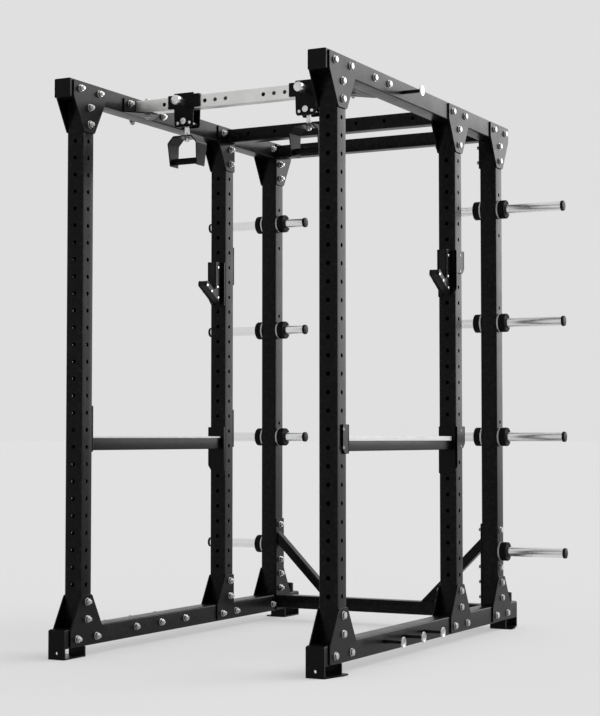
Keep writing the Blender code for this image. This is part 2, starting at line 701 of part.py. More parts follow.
def build_safety_bar(side):
    """Beam between a front and a middle upright, with a folded and pinned bracket at each end."""
    way = SIDES[side]
    front_y = UPRIGHT_Y["front"]
    middle_y = UPRIGHT_Y["middle"]
    front_face = front_y + TUBE / 2 + GAP
    near = middle_y - TUBE / 2 - GAP
    far = middle_y + TUBE / 2 + GAP
    beam_y = (front_face + BRACKET - 0.002, near - BRACKET + 0.002)
    x = way * HALF_TRACK
    half = SAFETY_WIDTH / 2
    beam = box((x - half, beam_y[0], SAFETY_Z[0]), (x + half, beam_y[1], SAFETY_Z[1]), 0.004, 1)
    front_plate = upright_plate(way, front_face, 1, 0.802, 0.907, 0.802, 0.9855)
    front_side = [
        (0.033, 0.816),
        (0.051, 0.798),
        (front_face + BRACKET - FOLD, 0.800),
        (front_face + BRACKET - FOLD, 0.906),
        (0.033, 0.906),
    ]
    middle_plate = upright_plate(way, near, -1, 0.734, 0.9065, 0.708, 0.9065)
    rear_plate = upright_plate(way, far, 1, 0.834, 0.9065, 0.816, 0.9865)
    middle_side = [
        (near - BRACKET + FOLD, 0.737),
        (near + 0.002, 0.739),
        (near + 0.012, 0.799),
        (far + BRACKET - BRACKET_SLANT, 0.818),
        (far + BRACKET - FOLD, 0.837),
        (far + BRACKET - FOLD, 0.9055),
        (near - BRACKET + FOLD, 0.9055),
    ]
    sides = [side_plate(way, front_side), side_plate(way, middle_side)]
    pins = side_pins(way, front_y, SAFETY_HOLES) + side_pins(way, middle_y, SAFETY_HOLES)
    solid = fuse(beam, front_plate, middle_plate, rear_plate, *sides, *pins)
    inside = box(
        (x - half + WALL, front_face + BRACKET + 0.001, SAFETY_Z[0] + WALL),
        (x + half - WALL, near - BRACKET - 0.001, SAFETY_Z[1] - WALL),
    )
    vent = cylinder((x, front_face + 0.005, sum(SAFETY_Z) / 2), (0, 1, 0), 0.02, 0.004, 8)
    solid = cut(solid, inside, vent)
    slide = slide_empty(f"safety_bar_{side}_slide", (way * OUTER_X, front_y, hole_z(SAFETY_HOLES[0])))
    part(f"safety_bar_{side}", solid, black_steel(), parent=slide)
    hang_from(slide, f"safety_bar_{side}")


def slide_empty(name, place, parent=None):
    """An empty on a joint's axis, which its moving piece hangs from."""
    made = bpy.data.objects.new(name, None)
    made.empty_display_size = 0.05
    made.location = place
    made.parent = parent or CAGE
    PARTS.objects.link(made)
    return made


def hang_from(empty, *names):
    """Keeps pieces that were modelled in place where they are, under an empty that has its own location."""
    place = empty.location.copy()
    up = empty.parent
    while up is not None and up is not CAGE:
        place += up.location
        up = up.parent
    for name in names:
        piece = bpy.data.objects[name]
        piece.data.transform(Matrix.Translation(-place))


def build_trolley(side):
    """Saddle over the crossbar: two T-shaped plates, a top plate, a pivot bolt and two spacer bolts."""
    x = SIDES[side] * TROLLEY_X
    half = CROSSBAR_DEPTH / 2 + TROLLEY_GAP
    outer = half + TROLLEY_PLATE
    wing_low, wing_high = TROLLEY_WING_Z
    cheek_low, cheek_high = TROLLEY_CHEEK_Z
    wing_side = (x - TROLLEY_WING, x + TROLLEY_WING)
    cheek_side = (x - TROLLEY_CHEEK, x + TROLLEY_CHEEK)
    outline = [
        (cheek_side[0], cheek_low),
        (cheek_side[1], cheek_low),
        (cheek_side[1], wing_low),
        (wing_side[1], wing_low),
        (wing_side[1], wing_high),
        (cheek_side[1], wing_high),
        (cheek_side[1], cheek_high),
        (cheek_side[0], cheek_high),
        (cheek_side[0], wing_high),
        (wing_side[0], wing_high),
        (wing_side[0], wing_low),
        (cheek_side[0], wing_low),
    ]
    solid = prism(outline, 1, CROSSBAR_Y - outer, CROSSBAR_Y - half)
    back = prism(outline, 1, CROSSBAR_Y + half, CROSSBAR_Y + outer)
    top_low = CROSSBAR_Z + CROSSBAR_HEIGHT / 2 + TROLLEY_GAP
    top = box(
        (wing_side[0] + 0.004, CROSSBAR_Y - half - 0.001, top_low),
        (wing_side[1] - 0.004, CROSSBAR_Y + half + 0.001, top_low + 0.004),
    )
    bolts = [cylinder((x, CROSSBAR_Y, PIVOT_Z), (0, 1, 0), 2 * outer + 0.012, 0.008, 12)]
    for way in (-1, 1):
        head_y = CROSSBAR_Y + way * (outer + 0.0035)
        bolts.append(cylinder((x, head_y, PIVOT_Z), (0, 1, 0), 0.009, 0.013, 12))
        place = (x + way * SPACER_BOLT_X, CROSSBAR_Y, SPACER_BOLT_Z)
        bolts.append(cylinder(place, (0, 1, 0), 2 * outer + 0.008, 0.004, 8))
    pin_bore = cylinder((x, CROSSBAR_Y - outer, CROSSBAR_Z), (0, 1, 0), 0.02, 0.009, 12)
    solid = cut(fuse(solid, back, top, *bolts), pin_bore)
    slide = slide_empty(f"trolley_{side}_slide", (x, CROSSBAR_Y, CROSSBAR_Z))
    part(f"trolley_{side}", solid, black_steel(), parent=slide)
    hang_from(slide, f"trolley_{side}")
    return slide


def build_lock_pin(side, trolley):
    """Pull pin: round knob on a neck, and a nose that rests just short of the crossbar."""
    x = SIDES[side] * TROLLEY_X
    face = CROSSBAR_Y - CROSSBAR_DEPTH / 2 - TROLLEY_GAP - TROLLEY_PLATE
    nose_end = CROSSBAR_Y - CROSSBAR_DEPTH / 2 - 0.0006
    knob_end = face - KNOB_REACH
    middle = (nose_end + knob_end + 0.004) / 2
    nose = cylinder((x, middle, CROSSBAR_Z), (0, 1, 0), nose_end - knob_end - 0.004, 0.0075, 12)
    neck = cylinder((x, face - GAP - 0.018, CROSSBAR_Z), (0, 1, 0), 0.036, 0.0135, 14)
    knob = cylinder((x, knob_end + 0.0175, CROSSBAR_Z), (0, 1, 0), 0.035, KNOB_RADIUS, 20)
    slide = slide_empty(f"lock_pin_{side}_slide", (0, 0, 0), trolley)
    part(f"lock_pin_{side}", fuse(nose, neck, knob), satin_steel(), parent=slide)
    hang_from(slide, f"lock_pin_{side}")


def build_hanger(side, trolley):
    """Eye on the pivot bolt and a round stem down to the handle, ending in a nut under its strap."""
    x = SIDES[side] * TROLLEY_X
    stem_low = HANDLE_TOP + GAP
    nut_high = HANDLE_TOP - HANDLE_STRAP - GAP
    nut_low = nut_high - 0.016
    eye = cylinder((x, CROSSBAR_Y, PIVOT_Z), (0, 1, 0), 0.024, 0.015, 16)
    stem = cylinder((x, CROSSBAR_Y, (PIVOT_Z + stem_low) / 2), (0, 0, 1), PIVOT_Z - stem_low, 0.010, 14)
    thread_length = PIVOT_Z - nut_low - 0.002
    thread = cylinder((x, CROSSBAR_Y, (PIVOT_Z + nut_low) / 2), (0, 0, 1), thread_length, 0.006, 12)
    nut = cylinder((x, CROSSBAR_Y, (nut_low + nut_high) / 2), (0, 0, 1), nut_high - nut_low, 0.012, 6)
    bore = cylinder((x, CROSSBAR_Y, PIVOT_Z), (0, 1, 0), 0.05, 0.0088, 12)
    swing = slide_empty(f"hanger_{side}_pivot", (0, 0, PIVOT_Z - CROSSBAR_Z), trolley)
    part(f"hanger_{side}", cut(fuse(eye, stem, thread, nut), bore), satin_steel(), parent=swing)
    hang_from(swing, f"hanger_{side}")
    return swing


def handle_outline(inset, low):
    """Front view of the stirrup: flat top, sloping shoulders and long arms, moved in by an inset."""
    half = [
        (HANDLE_HALF_LOW - inset, low),
        (HANDLE_HALF - inset, HANDLE_SHOULDER - inset / 2),
        (HANDLE_HALF_TOP - inset / 2, HANDLE_TOP - inset),
    ]
    return half + [(-u, z) for u, z in reversed(half)]


def build_handle(side, hanger):
    """Stirrup bent from wide strap, narrower towards the bottom, with a grip tube between its arms."""
    depth_top, depth_low = HANDLE_DEPTHS
    channel = prism(handle_outline(HANDLE_STRAP, HANDLE_BOTTOM - 0.01), 1, -0.1, 0.1)
    solid = cut(prism(handle_outline(0.0, HANDLE_BOTTOM), 1, -depth_top, depth_top), channel)
    cutters = [cylinder((0, 0, HANDLE_TOP), (0, 0, 1), 0.04, 0.007, 12)]
    for way in (-1, 1):
        corner = [
            (way * (depth_top + 0.001), HANDLE_SHOULDER),
            (way * (depth_top + 0.001), HANDLE_BOTTOM - 0.001),
            (way * depth_low, HANDLE_BOTTOM - 0.001),
            (way * depth_top, HANDLE_SHOULDER),
        ]
        cutters.append(prism(corner, 0, -0.1, 0.1))
    solid = cut(solid, *cutters)
    grip = cylinder((0, 0, HANDLE_GRIP_Z), (1, 0, 0), 2 * HANDLE_HALF_LOW - HANDLE_STRAP, GRIP_RADIUS, 16)
    swivel = slide_empty(f"handle_{side}_swivel", (0, 0, HANDLE_TOP - PIVOT_Z), hanger)
    if side == "right":
        swivel.rotation_euler.z = RIGHT_HANDLE_TURN
    handle = part(f"handle_{side}", fuse(solid, grip), black_steel(), parent=swivel)
    handle.data.transform(Matrix.Translation((0, 0, -HANDLE_TOP)))


def build_frame():
    for side in SIDES:
        for row in UPRIGHT_Y:
            build_upright(row, side)
        for level in ("top", "bottom"):
            build_rail(level, side)
            for row in UPRIGHT_Y:
                build_gussets(level, row, side)
        for end in ("front", "rear"):
            build_foot(end, side)
        build_brace(side)
    build_cross_beams()
    build_crossbar()


def build_attachments():
    for side in SIDES:
        for index in range(len(PEG_HEIGHTS)):
            build_plate_peg(side, index)
        for index in range(len(BAND_PEG_Y)):
            build_band_peg(side, index)
        build_bar_holder(side)
        build_bar_hook(side)
        build_safety_bar(side)
        trolley = build_trolley(side)
        build_lock_pin(side, trolley)
        hanger = build_hanger(side, trolley)
        build_handle(side, hanger)


for old in list(bpy.data.objects):
    bpy.data.objects.remove(old)
PARTS = collection("power_cage")
CUTTERS = collection("cutters")
CAGE = bpy.data.objects.new("cage", None)
CAGE.location = (0, -(FOOTPRINT_Y[0] + FOOTPRINT_Y[1]) / 2, 0)
PARTS.objects.link(CAGE)
build_frame()
build_attachments()
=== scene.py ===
"""Looks of the power cage: coated tubes with their pin holes, zinc bolts, chrome pegs, a satin crossbar."""

import math
from functools import partial

import bmesh
import bpy
from mathutils import Matrix, Vector


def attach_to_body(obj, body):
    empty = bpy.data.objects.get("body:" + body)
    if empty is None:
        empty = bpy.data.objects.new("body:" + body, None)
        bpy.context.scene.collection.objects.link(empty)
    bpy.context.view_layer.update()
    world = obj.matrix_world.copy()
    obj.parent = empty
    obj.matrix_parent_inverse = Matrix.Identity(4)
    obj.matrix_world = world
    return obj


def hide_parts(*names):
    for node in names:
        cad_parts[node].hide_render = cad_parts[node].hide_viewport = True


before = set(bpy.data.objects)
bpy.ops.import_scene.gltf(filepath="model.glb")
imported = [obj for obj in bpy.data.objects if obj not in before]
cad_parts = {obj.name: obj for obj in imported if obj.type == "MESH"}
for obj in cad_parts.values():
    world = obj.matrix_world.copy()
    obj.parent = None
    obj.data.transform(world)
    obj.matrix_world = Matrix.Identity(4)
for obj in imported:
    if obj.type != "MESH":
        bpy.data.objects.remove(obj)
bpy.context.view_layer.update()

# Distances in metres. y is counted from the front face of the front uprights; SHIFT puts the origin in place.
# TRACK, INNER and OUTER are the x of an upright's middle and faces. A name ending in _X, _Y or _Z is a place.
SHIFT = Matrix.Translation((0, -0.870, 0))
TUBE = 0.075
WALL = 0.003
NEAR = 0.0003
PITCH = 0.0675
FIRST_HOLE_Z = 0.2815
HOLE_COUNT = 27
REAR_HOLES_Z = (0.9285, 1.4403, 1.7667, 1.9505)
PIN_HOLE = 0.0085
TRACK = 0.5613
INNER = TRACK - TUBE / 2
OUTER = TRACK + TUBE / 2
ROWS = {"front": 0.0375, "middle": 1.1631, "rear": 1.6433}
LEVELS = {"top": 2.196, "bottom": 0.116}
SIDES = {"left": -1, "right": 1}
RAIL_ENDS_Y = {"top": (-0.089, 1.750), "bottom": (-0.098, 1.838)}
RAIL_BASE_Z = {"top": LEVELS["top"], "bottom": LEVELS["bottom"] - TUBE}
PLATE = 0.006
PLATE_X = INNER - PLATE - NEAR
GUSSET_TIP = 0.036
GUSSET_WIDE = 0.110
GUSSET_DROP = 0.125
GUSSET_SHOULDER = 0.008
GUSSET_RISE = 0.071
RAIL_BOLT_ALONG = 0.066
RAIL_BOLT_RISE = 0.042
BEAM = 0.060
TOP_BEAM_Z = 2.198
FLOOR_BEAM_Z = 0.055
BEAM_HOLE_STEP = 0.135
CROSSBAR_Y = 0.393
CROSSBAR_Z = 2.229
CROSSBAR_DEEP = 0.0225
CROSSBAR_HIGH = 0.0275
CROSSBAR_FIRST_HOLE = 0.0873
CROSSBAR_STEP = 0.0484
TROLLEY_X = CROSSBAR_FIRST_HOLE + 4 * CROSSBAR_STEP
TROLLEY_GAP = 0.0015
TROLLEY_PLATE = 0.005
PIVOT_Z = 2.1515
HANDLE_TOP_Z = 2.091
STRAP = 0.005
HANDLE_TURNS = {"left": 0, "right": math.radians(-5)}
PEG_HEIGHTS = (0.352, 0.8625, 1.373, 1.884)
BAND_PEGS = ((0.400, 0.082), (0.593, 0.082), (0.786, 0.082))
TOP_BAND_PEG = (0.593, 2.228)
BRACKET = 0.0075
BRACKET_X = OUTER + NEAR + BRACKET
HOOK_HOLES = (19, 20)
SAFETY_HOLES = (8, 9)
SMOOTH_BELOW = math.radians(34)
BACKDROP = 0.745
SOFTBOX = 4.2


# ---- materials ----------------------------------------------------------------------------------

def new_material(name):
    made = bpy.data.materials.new(name)
    made.use_nodes = True
    tree = made.node_tree
    return made, tree, tree.nodes["Principled BSDF"]


def noise(tree, scale, detail=3.0, stretch=(1, 1, 1)):
    """Noise in object space; stretch below 1 draws the grain out along that axis."""
    coords = tree.nodes.new("ShaderNodeTexCoord")
    mapping = tree.nodes.new("ShaderNodeMapping")
    mapping.inputs["Scale"].default_value = stretch
    texture = tree.nodes.new("ShaderNodeTexNoise")
    texture.inputs["Scale"].default_value = scale
    texture.inputs["Detail"].default_value = detail
    texture.inputs["Roughness"].default_value = 0.55
    tree.links.new(coords.outputs["Object"], mapping.inputs["Vector"])
    tree.links.new(mapping.outputs["Vector"], texture.inputs["Vector"])
    return texture.outputs["Fac"]


def ranged(tree, value, low, high, start=0.3, stop=0.7):
    """The value between start and stop, spread over low to high."""
    node = tree.nodes.new("ShaderNodeMapRange")
    node.inputs["From Min"].default_value = start
    node.inputs["From Max"].default_value = stop
    node.inputs["To Min"].default_value = low
    node.inputs["To Max"].default_value = high
    tree.links.new(value, node.inputs["Value"])
    return node.outputs["Result"]


def blended(tree, factor, one, two):
    """A colour between two, each a tuple or another node's output."""
    node = tree.nodes.new("ShaderNodeMix")
    node.data_type = "RGBA"
    for key, color in ((6, one), (7, two)):
        if isinstance(color, tuple):
            node.inputs[key].default_value = (*color, 1)
        else:
            tree.links.new(color, node.inputs[key])
    tree.links.new(factor, node.inputs[0])
    return node.outputs[2]


def bumped(tree, shader, height, strength, distance):
    node = tree.nodes.new("ShaderNodeBump")
    node.inputs["Strength"].default_value = strength
    node.inputs["Distance"].default_value = distance
    tree.links.new(height, node.inputs["Height"])
    tree.links.new(node.outputs["Normal"], shader.inputs["Normal"])


def edges(tree, low, high):
    """How convex the surface is, for the wear on corners."""
    geometry = tree.nodes.new("ShaderNodeNewGeometry")
    return ranged(tree, geometry.outputs["Pointiness"], 0, 1, low, high)


def powder_coat():
    made, tree, shader = new_material("black_powder_coat")
    cloud = ranged(tree, noise(tree, 3.5, 5), 0, 1)
    color = blended(tree, cloud, (0.0010, 0.0010, 0.0011), (0.0024, 0.0024, 0.0026))
    worn = tree.nodes.new("ShaderNodeMath")
    worn.operation = "MULTIPLY"
    tree.links.new(edges(tree, 0.53, 0.62), worn.inputs[0])
    tree.links.new(ranged(tree, noise(tree, 60, 4), 0, 0.5, 0.45, 0.75), worn.inputs[1])
    tree.links.new(blended(tree, worn.outputs[0], color, (0.022, 0.022, 0.023)), shader.inputs["Base Color"])
    tree.links.new(ranged(tree, noise(tree, 9, 6), 0.27, 0.38), shader.inputs["Roughness"])
    shader.inputs["Specular IOR Level"].default_value = 0.07
    shader.inputs["Coat Weight"].default_value = 0.18
    shader.inputs["Coat Roughness"].default_value = 0.14
    shader.inputs["Coat IOR"].default_value = 1.25
    bumped(tree, shader, noise(tree, 1400, 2), 0.10, 0.0004)
    return made


def rubber():
    made, tree, shader = new_material("black_rubber")
    cloud = ranged(tree, noise(tree, 40, 4), 0, 1)
    color = blended(tree, cloud, (0.0015, 0.0015, 0.0015), (0.0035, 0.0035, 0.0035))
    tree.links.new(color, shader.inputs["Base Color"])
    tree.links.new(ranged(tree, noise(tree, 120, 4), 0.5, 0.75), shader.inputs["Roughness"])
    shader.inputs["Specular IOR Level"].default_value = 0.08
    bumped(tree, shader, noise(tree, 2200, 2), 0.25, 0.0004)
    return made


def metal(name, dark, light, low, high, stretch, scale, bump):
    """Bare or plated metal: stretched grain in its roughness and relief, and faint stains in its colour."""
    made, tree, shader = new_material(name)
    grain = noise(tree, scale, 3, stretch)
    stain = ranged(tree, noise(tree, 14, 5), 0, 1)
    tree.links.new(blended(tree, stain, dark, light), shader.inputs["Base Color"])
    shader.inputs["Metallic"].default_value = 1.0
    tree.links.new(ranged(tree, grain, low, high), shader.inputs["Roughness"])
    bumped(tree, shader, grain, bump, 0.0002)
    return made


def plastic(name, dark, light, rough):
    made, tree, shader = new_material(name)
    cloud = ranged(tree, noise(tree, 25, 4), 0, 1)
    tree.links.new(blended(tree, cloud, dark, light), shader.inputs["Base Color"])
    tree.links.new(ranged(tree, noise(tree, 200, 3), rough - 0.07, rough + 0.07), shader.inputs["Roughness"])
    shader.inputs["Specular IOR Level"].default_value = 0.09
    bumped(tree, shader, noise(tree, 900, 2), 0.15, 0.0003)
    return made


COAT = powder_coat()
RUBBER = rubber()
SATIN = metal("satin_steel_x", (0.70, 0.70, 0.69), (0.80, 0.80, 0.79), 0.36, 0.48, (0.02, 1, 1), 900, 0.05)
CHROME = metal("chrome_plate", (0.80, 0.80, 0.81), (0.86, 0.86, 0.87), 0.19, 0.23, (1, 0.3, 0.3), 60, 0.003)
ZINC = metal("zinc_plate", (0.66, 0.66, 0.66), (0.82, 0.82, 0.81), 0.20, 0.34, (1, 1, 1), 500, 0.08)
BOLTS = metal("bolt_zinc", (0.34, 0.34, 0.34), (0.50, 0.50, 0.49), 0.24, 0.40, (1, 1, 1), 500, 0.08)
PINS = metal("dull_pins", (0.13, 0.13, 0.13), (0.20, 0.20, 0.20), 0.32, 0.44, (1, 1, 1), 500, 0.05)
DISC = metal("machined_disc", (0.33, 0.33, 0.33), (0.46, 0.46, 0.46), 0.24, 0.38, (1, 0.2, 1), 900, 0.06)
BLACK_PLASTIC = plastic("black_plastic", (0.002, 0.002, 0.002), (0.004, 0.004, 0.004), 0.42)
LINER = plastic("liner_plastic", (0.008, 0.008, 0.009), (0.014, 0.014, 0.015), 0.36)
# painted highlight: the light grey of the safety beams' strip stands in for the light on their top outboard
# edge
HIGHLIGHT_STRIP = plastic("painted_highlight_strip", (0.50, 0.50, 0.50), (0.58, 0.58, 0.58), 0.5)


# ---- shapes -------------------------------------------------------------------------------------

def add_box(bm, low, high):
    low = Vector(low)
    high = Vector(high)
    place = Matrix.Translation((low + high) / 2) @ Matrix.Diagonal((*(high - low), 1))
    bmesh.ops.create_cube(bm, size=1, matrix=place)


def add_rod(bm, start, stop, radius, sides=32, end_radius=None, turn=0.0):
    """A round or many-sided bar between two points."""
    start = Vector(start)
    stop = Vector(stop)
    facing = (stop - start).to_track_quat("Z", "Y").to_matrix().to_4x4()
    bmesh.ops.create_cone(
        bm,
        cap_ends=True,
        segments=sides,
        radius1=radius,
        radius2=radius if end_radius is None else end_radius,
        depth=(stop - start).length,
        matrix=Matrix.Translation((start + stop) / 2) @ facing @ Matrix.Rotation(turn, 4, "Z"),
    )


def add_turned(bm, profile, start, direction, sides=40):
    """A turned piece from (distance along the axis, radius) pairs, closed at both ends."""
    facing = Vector(direction).to_track_quat("Z", "Y").to_matrix()
    start = Vector(start)
    rings = []
    for along, radius in profile:
        ring = []
        for k in range(sides):
            a = 2 * math.pi * k / sides
            point = Vector((radius * math.cos(a), radius * math.sin(a), along))
            ring.append(bm.verts.new(start + facing @ point))
        rings.append(ring)
    for one, two in zip(rings, rings[1:]):
        for k in range(sides):
            bm.faces.new((one[k], one[(k + 1) % sides], two[(k + 1) % sides], two[k]))
    bm.faces.new(list(reversed(rings[0])))
    bm.faces.new(rings[-1])


def rounded(outline, radius, steps=4):
    """The outline with each corner replaced by an arc; radius is one number or one for each corner."""
    made = []
    count = len(outline)
    radii = [radius] * count if isinstance(radius, (int, float)) else radius
    for i, corner in enumerate(outline):
        here = Vector(corner)
        back = Vector(outline[i - 1]) - here
        on = Vector(outline[(i + 1) % count]) - here
        longest = 0.45 * min(back.length, on.length)
        back.normalize()
        on.normalize()
        half = math.acos(max(-1, min(1, back.dot(on)))) / 2
        if radii[i] <= 0 or half > math.radians(88):
            made.append(tuple(here))
            continue
        reach = min(radii[i] / math.tan(half), longest)
        start = here + back * reach
        stop = here + on * reach
        for k in range(steps + 1):
            t = k / steps
            made.append(tuple(start * (1 - t) ** 2 + here * 2 * t * (1 - t) + stop * t ** 2))
    return made


def add_plate(bm, outline, axis, low, high):
    """A flat outline square to an axis (0 = x, 1 = y, 2 = z), thickened from low to high along it."""
    def place(u, v, w):
        return {0: (w, u, v), 1: (u, w, v), 2: (u, v, w)}[axis]

    bottom = [bm.verts.new(place(u, v, low)) for u, v in outline]
    top = [bm.verts.new(place(u, v, high)) for u, v in outline]
    bm.faces.new(bottom)
    bm.faces.new(list(reversed(top)))
    for k in range(len(outline)):
        following = (k + 1) % len(outline)
        bm.faces.new((bottom[following], bottom[k], top[k], top[following]))


def add_washer(bm, face, direction, radius):
    add_turned(bm, [(0, radius), (0.0018, radius), (0.0024, radius - 0.0007)], face, direction, 28)


def add_bolt(bm, face, direction, across=0.024, head=0.010, washer=0.015, turn=0.3):
    """Hex head with a chamfered top on a washer, standing out of a face."""
    face = Vector(face)
    direction = Vector(direction)
    radius = across / math.sqrt(3)
    add_washer(bm, face, direction, washer)
    seat = face + direction * 0.0022
    add_rod(bm, seat, seat + direction * (head - 0.0045), radius, 6, turn=turn)
    crown = seat + direction * (head - 0.0045)
    add_rod(bm, crown, crown + direction * 0.0022, radius, 6, radius * 0.87, turn)
    add_rod(bm, crown, crown + direction * 0.0028, radius * 0.70, 20)


def add_nut(
    bm, face, direction, across=0.024, height=0.0125, end=0.0205, thread=0.0078, washer=0.015, turn=0.3
):
    """Hex nut on a washer, with the bolt's chamfered end and its last threads standing out of it."""
    face = Vector(face)
    direction = Vector(direction)
    radius = across / math.sqrt(3)
    top = height - 0.0045
    add_washer(bm, face, direction, washer)
    seat = face + direction * 0.0022
    add_rod(bm, seat, seat + direction * top, radius, 6, turn=turn)
    add_rod(bm, seat + direction * top, seat + direction * (top + 0.0012), radius, 6, radius * 0.87, turn)
    profile = [(0.002, thread)]
    along = top + 0.004
    while along < end - 0.002:
        profile += [(along, thread), (along + 0.0006, thread - 0.0006), (along + 0.0012, thread)]
        along += 0.0014
    profile += [(end - 0.0012, thread), (end, thread - 0.0014)]
    add_turned(bm, profile, face, direction, 24)


def square_tube(bm, low, high, axis, radius=0.005):
    """Outside of a square tube with rounded corners, closed at its ends."""
    a, b = [k for k in range(3) if k != axis]
    outline = [(low[a], low[b]), (high[a], low[b]), (high[a], high[b]), (low[a], high[b])]
    add_plate(bm, rounded(outline, radius), axis, low[axis], high[axis])


def to_object(name, bm):
    bmesh.ops.recalc_face_normals(bm, faces=bm.faces)
    mesh = bpy.data.meshes.new(name)
    bm.to_mesh(mesh)
    bm.free()
    made = bpy.data.objects.new(name, mesh)
    bpy.context.scene.collection.objects.link(made)
    return made


def combined(base, other, operation):
    """The base mesh joined with another closed mesh, or with it taken out, by one exact Boolean."""
    modifier = base.modifiers.new("boolean", "BOOLEAN")
    modifier.operation = operation
    modifier.object = other
    graph = bpy.context.evaluated_depsgraph_get()
    mesh = bpy.data.meshes.new_from_object(base.evaluated_get(graph))
    base.modifiers.clear()
    base.data = mesh
    bpy.data.objects.remove(other)
    return base


def carved(base, *cutters):
    for cutter in cutters:
        combined(base, cutter, "DIFFERENCE")
    return base


def attach(obj, body, bevel, replaced):
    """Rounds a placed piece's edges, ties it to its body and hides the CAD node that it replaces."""
    if bevel:
        rim = obj.modifiers.new("rim", "BEVEL")
        rim.width = bevel
        rim.segments = 3
        rim.limit_method = "ANGLE"
        rim.angle_limit = SMOOTH_BELOW
        rim.harden_normals = True
    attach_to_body(obj, body)
    if replaced:
        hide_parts(replaced)


def show(obj, finish, body="frame", bevel=0.0, replaced=None):
    """Puts a piece in place in the row frame, with its material and shading, riding on its body."""
    obj.data.transform(SHIFT)
    obj.data.materials.clear()
    obj.data.materials.append(finish)
    obj.data.shade_smooth()
    obj.data.set_sharp_from_angle(angle=SMOOTH_BELOW)
    attach(obj, body, bevel, replaced)


MIRROR = Matrix.Diagonal((-1, 1, 1, 1))


def hole_z(index):
    return FIRST_HOLE_Z + index * PITCH


def left_and_right(name, make, finish, bevel=0.0, body="frame", replaces=None):
    """Builds the right-hand piece and mirrors it; {side} in the names becomes right or left."""
    replaced = {side: replaces.format(side=side) if replaces else None for side in SIDES}
    right = make()
    right.name = name.format(side="right")
    show(right, finish, body.format(side="right"), bevel, replaced["right"])
    mesh = right.data.copy()
    mesh.transform(MIRROR)
    mesh.flip_normals()
    left = bpy.data.objects.new(name.format(side="left"), mesh)
    bpy.context.scene.collection.objects.link(left)
    attach(left, body.format(side="left"), bevel, replaced["left"])


# ---- frame --------------------------------------------------------------------------------------

def upright(row):
    """Tube with its pin holes: a full grid both ways, or on a rear one a few holes across."""
    y = ROWS[row]
    half = TUBE / 2
    bm = bmesh.new()
    square_tube(bm, (INNER, y - half, LEVELS["bottom"] + NEAR), (OUTER, y + half, LEVELS["top"] - NEAR), 2)
    outside = to_object("upright", bm)
    bm = bmesh.new()
    square_tube(bm, (INNER + WALL, y - half + WALL, 0), (OUTER - WALL, y + half - WALL, 2.4), 2, 0.002)
    inside = to_object("inside", bm)
    grid = [hole_z(index) for index in range(HOLE_COUNT)]
    bm = bmesh.new()
    for z in REAR_HOLES_Z if row == "rear" else grid:
        add_rod(bm, (INNER - 0.02, y, z), (OUTER + 0.02, y, z), PIN_HOLE, 24)
    carved(outside, inside, to_object("holes", bm))
    if row == "rear":
        return outside
    bm = bmesh.new()
    for z in grid:
        add_rod(bm, (TRACK, y - half - 0.02, z), (TRACK, y + half + 0.02, z), PIN_HOLE, 24)
    return carved(outside, to_object("holes", bm))


def rail(level):
    ends = RAIL_ENDS_Y[level]
    base = RAIL_BASE_Z[level]
    bm = bmesh.new()
    square_tube(bm, (INNER, ends[0], base), (OUTER, ends[1], base + TUBE), 1)
    outside = to_object("rail", bm)
    bm = bmesh.new()
    low = (INNER + WALL, ends[0] - 0.01, base + WALL)
    square_tube(bm, low, (OUTER - WALL, ends[1] + 0.01, base + TUBE - WALL), 1, 0.002)
    return carved(outside, to_object("inside", bm))


def end_cap(level, end):
    """Pressed-in plastic cap of a rail, a little inside the tube's end."""
    y = RAIL_ENDS_Y[level][0 if end == "front" else 1]
    base = RAIL_BASE_Z[level]
    into = 1 if end == "front" else -1
    inset = 0.0008
    edge = WALL - 0.0004

    def make():
        bm = bmesh.new()
        ys = sorted((y + into * inset, y + into * 0.012))
        high = (OUTER - edge, ys[1], base + TUBE - edge)
        square_tube(bm, (INNER + edge, ys[0], base + edge), high, 1, 0.003)
        return to_object("cap", bm)

    return make


GUSSET_HALF = [(GUSSET_TIP, -GUSSET_DROP), (GUSSET_WIDE, GUSSET_SHOULDER), (GUSSET_WIDE, GUSSET_RISE)]


def mirrored(half):
    """A whole outline from its half at u > 0."""
    return half + [(-u, v) for u, v in reversed(half)]


def placed(outline, row, level, flare=1):
    """An outline about a joint as (y, z): w grows from the upright's end over the rail."""
    flip = 1 if level == "top" else -1
    return [(ROWS[row] + u * flare, LEVELS[level] + w * flip) for u, w in outline]


def outer_outline(row, level):
    outline = rounded(mirrored(GUSSET_HALF), [0.012, 0.020, 0.006, 0.006, 0.020, 0.012])
    return placed(outline, row, level)


def inner_outline(row, level):
    """At the middle and rear joints the inner plate is flared on one side only."""
    if row == "front":
        return outer_outline(row, level)
    outline = GUSSET_HALF + [(-TUBE / 2, GUSSET_RISE), (-TUBE / 2, -GUSSET_DROP)]
    radii = [0.012, 0.020, 0.020 if level == "bottom" else 0.006, 0.004, 0.006]
    return placed(rounded(outline, radii), row, level, -1 if row == "middle" else 1)


def bolt_places(level):
    """A joint's two bolts on the upright, then those on the rail before and behind it, as (distance, z)."""
    indices = (HOLE_COUNT, HOLE_COUNT + 1) if level == "top" else (-1, -2)
    z = LEVELS[level] + (RAIL_BOLT_RISE if level == "top" else -RAIL_BOLT_RISE)
    return [(0, hole_z(i)) for i in indices] + [(-RAIL_BOLT_ALONG, z), (RAIL_BOLT_ALONG, z)]


def corner_plates(row, level):
    def make():
        bm = bmesh.new()
        add_plate(bm, outer_outline(row, level), 0, OUTER + NEAR, OUTER + PLATE)
        if (row, level) != ("rear", "bottom"):
            add_plate(bm, inner_outline(row, level), 0, INNER - PLATE, INNER - NEAR)
        return to_object("plates", bm)

    return make


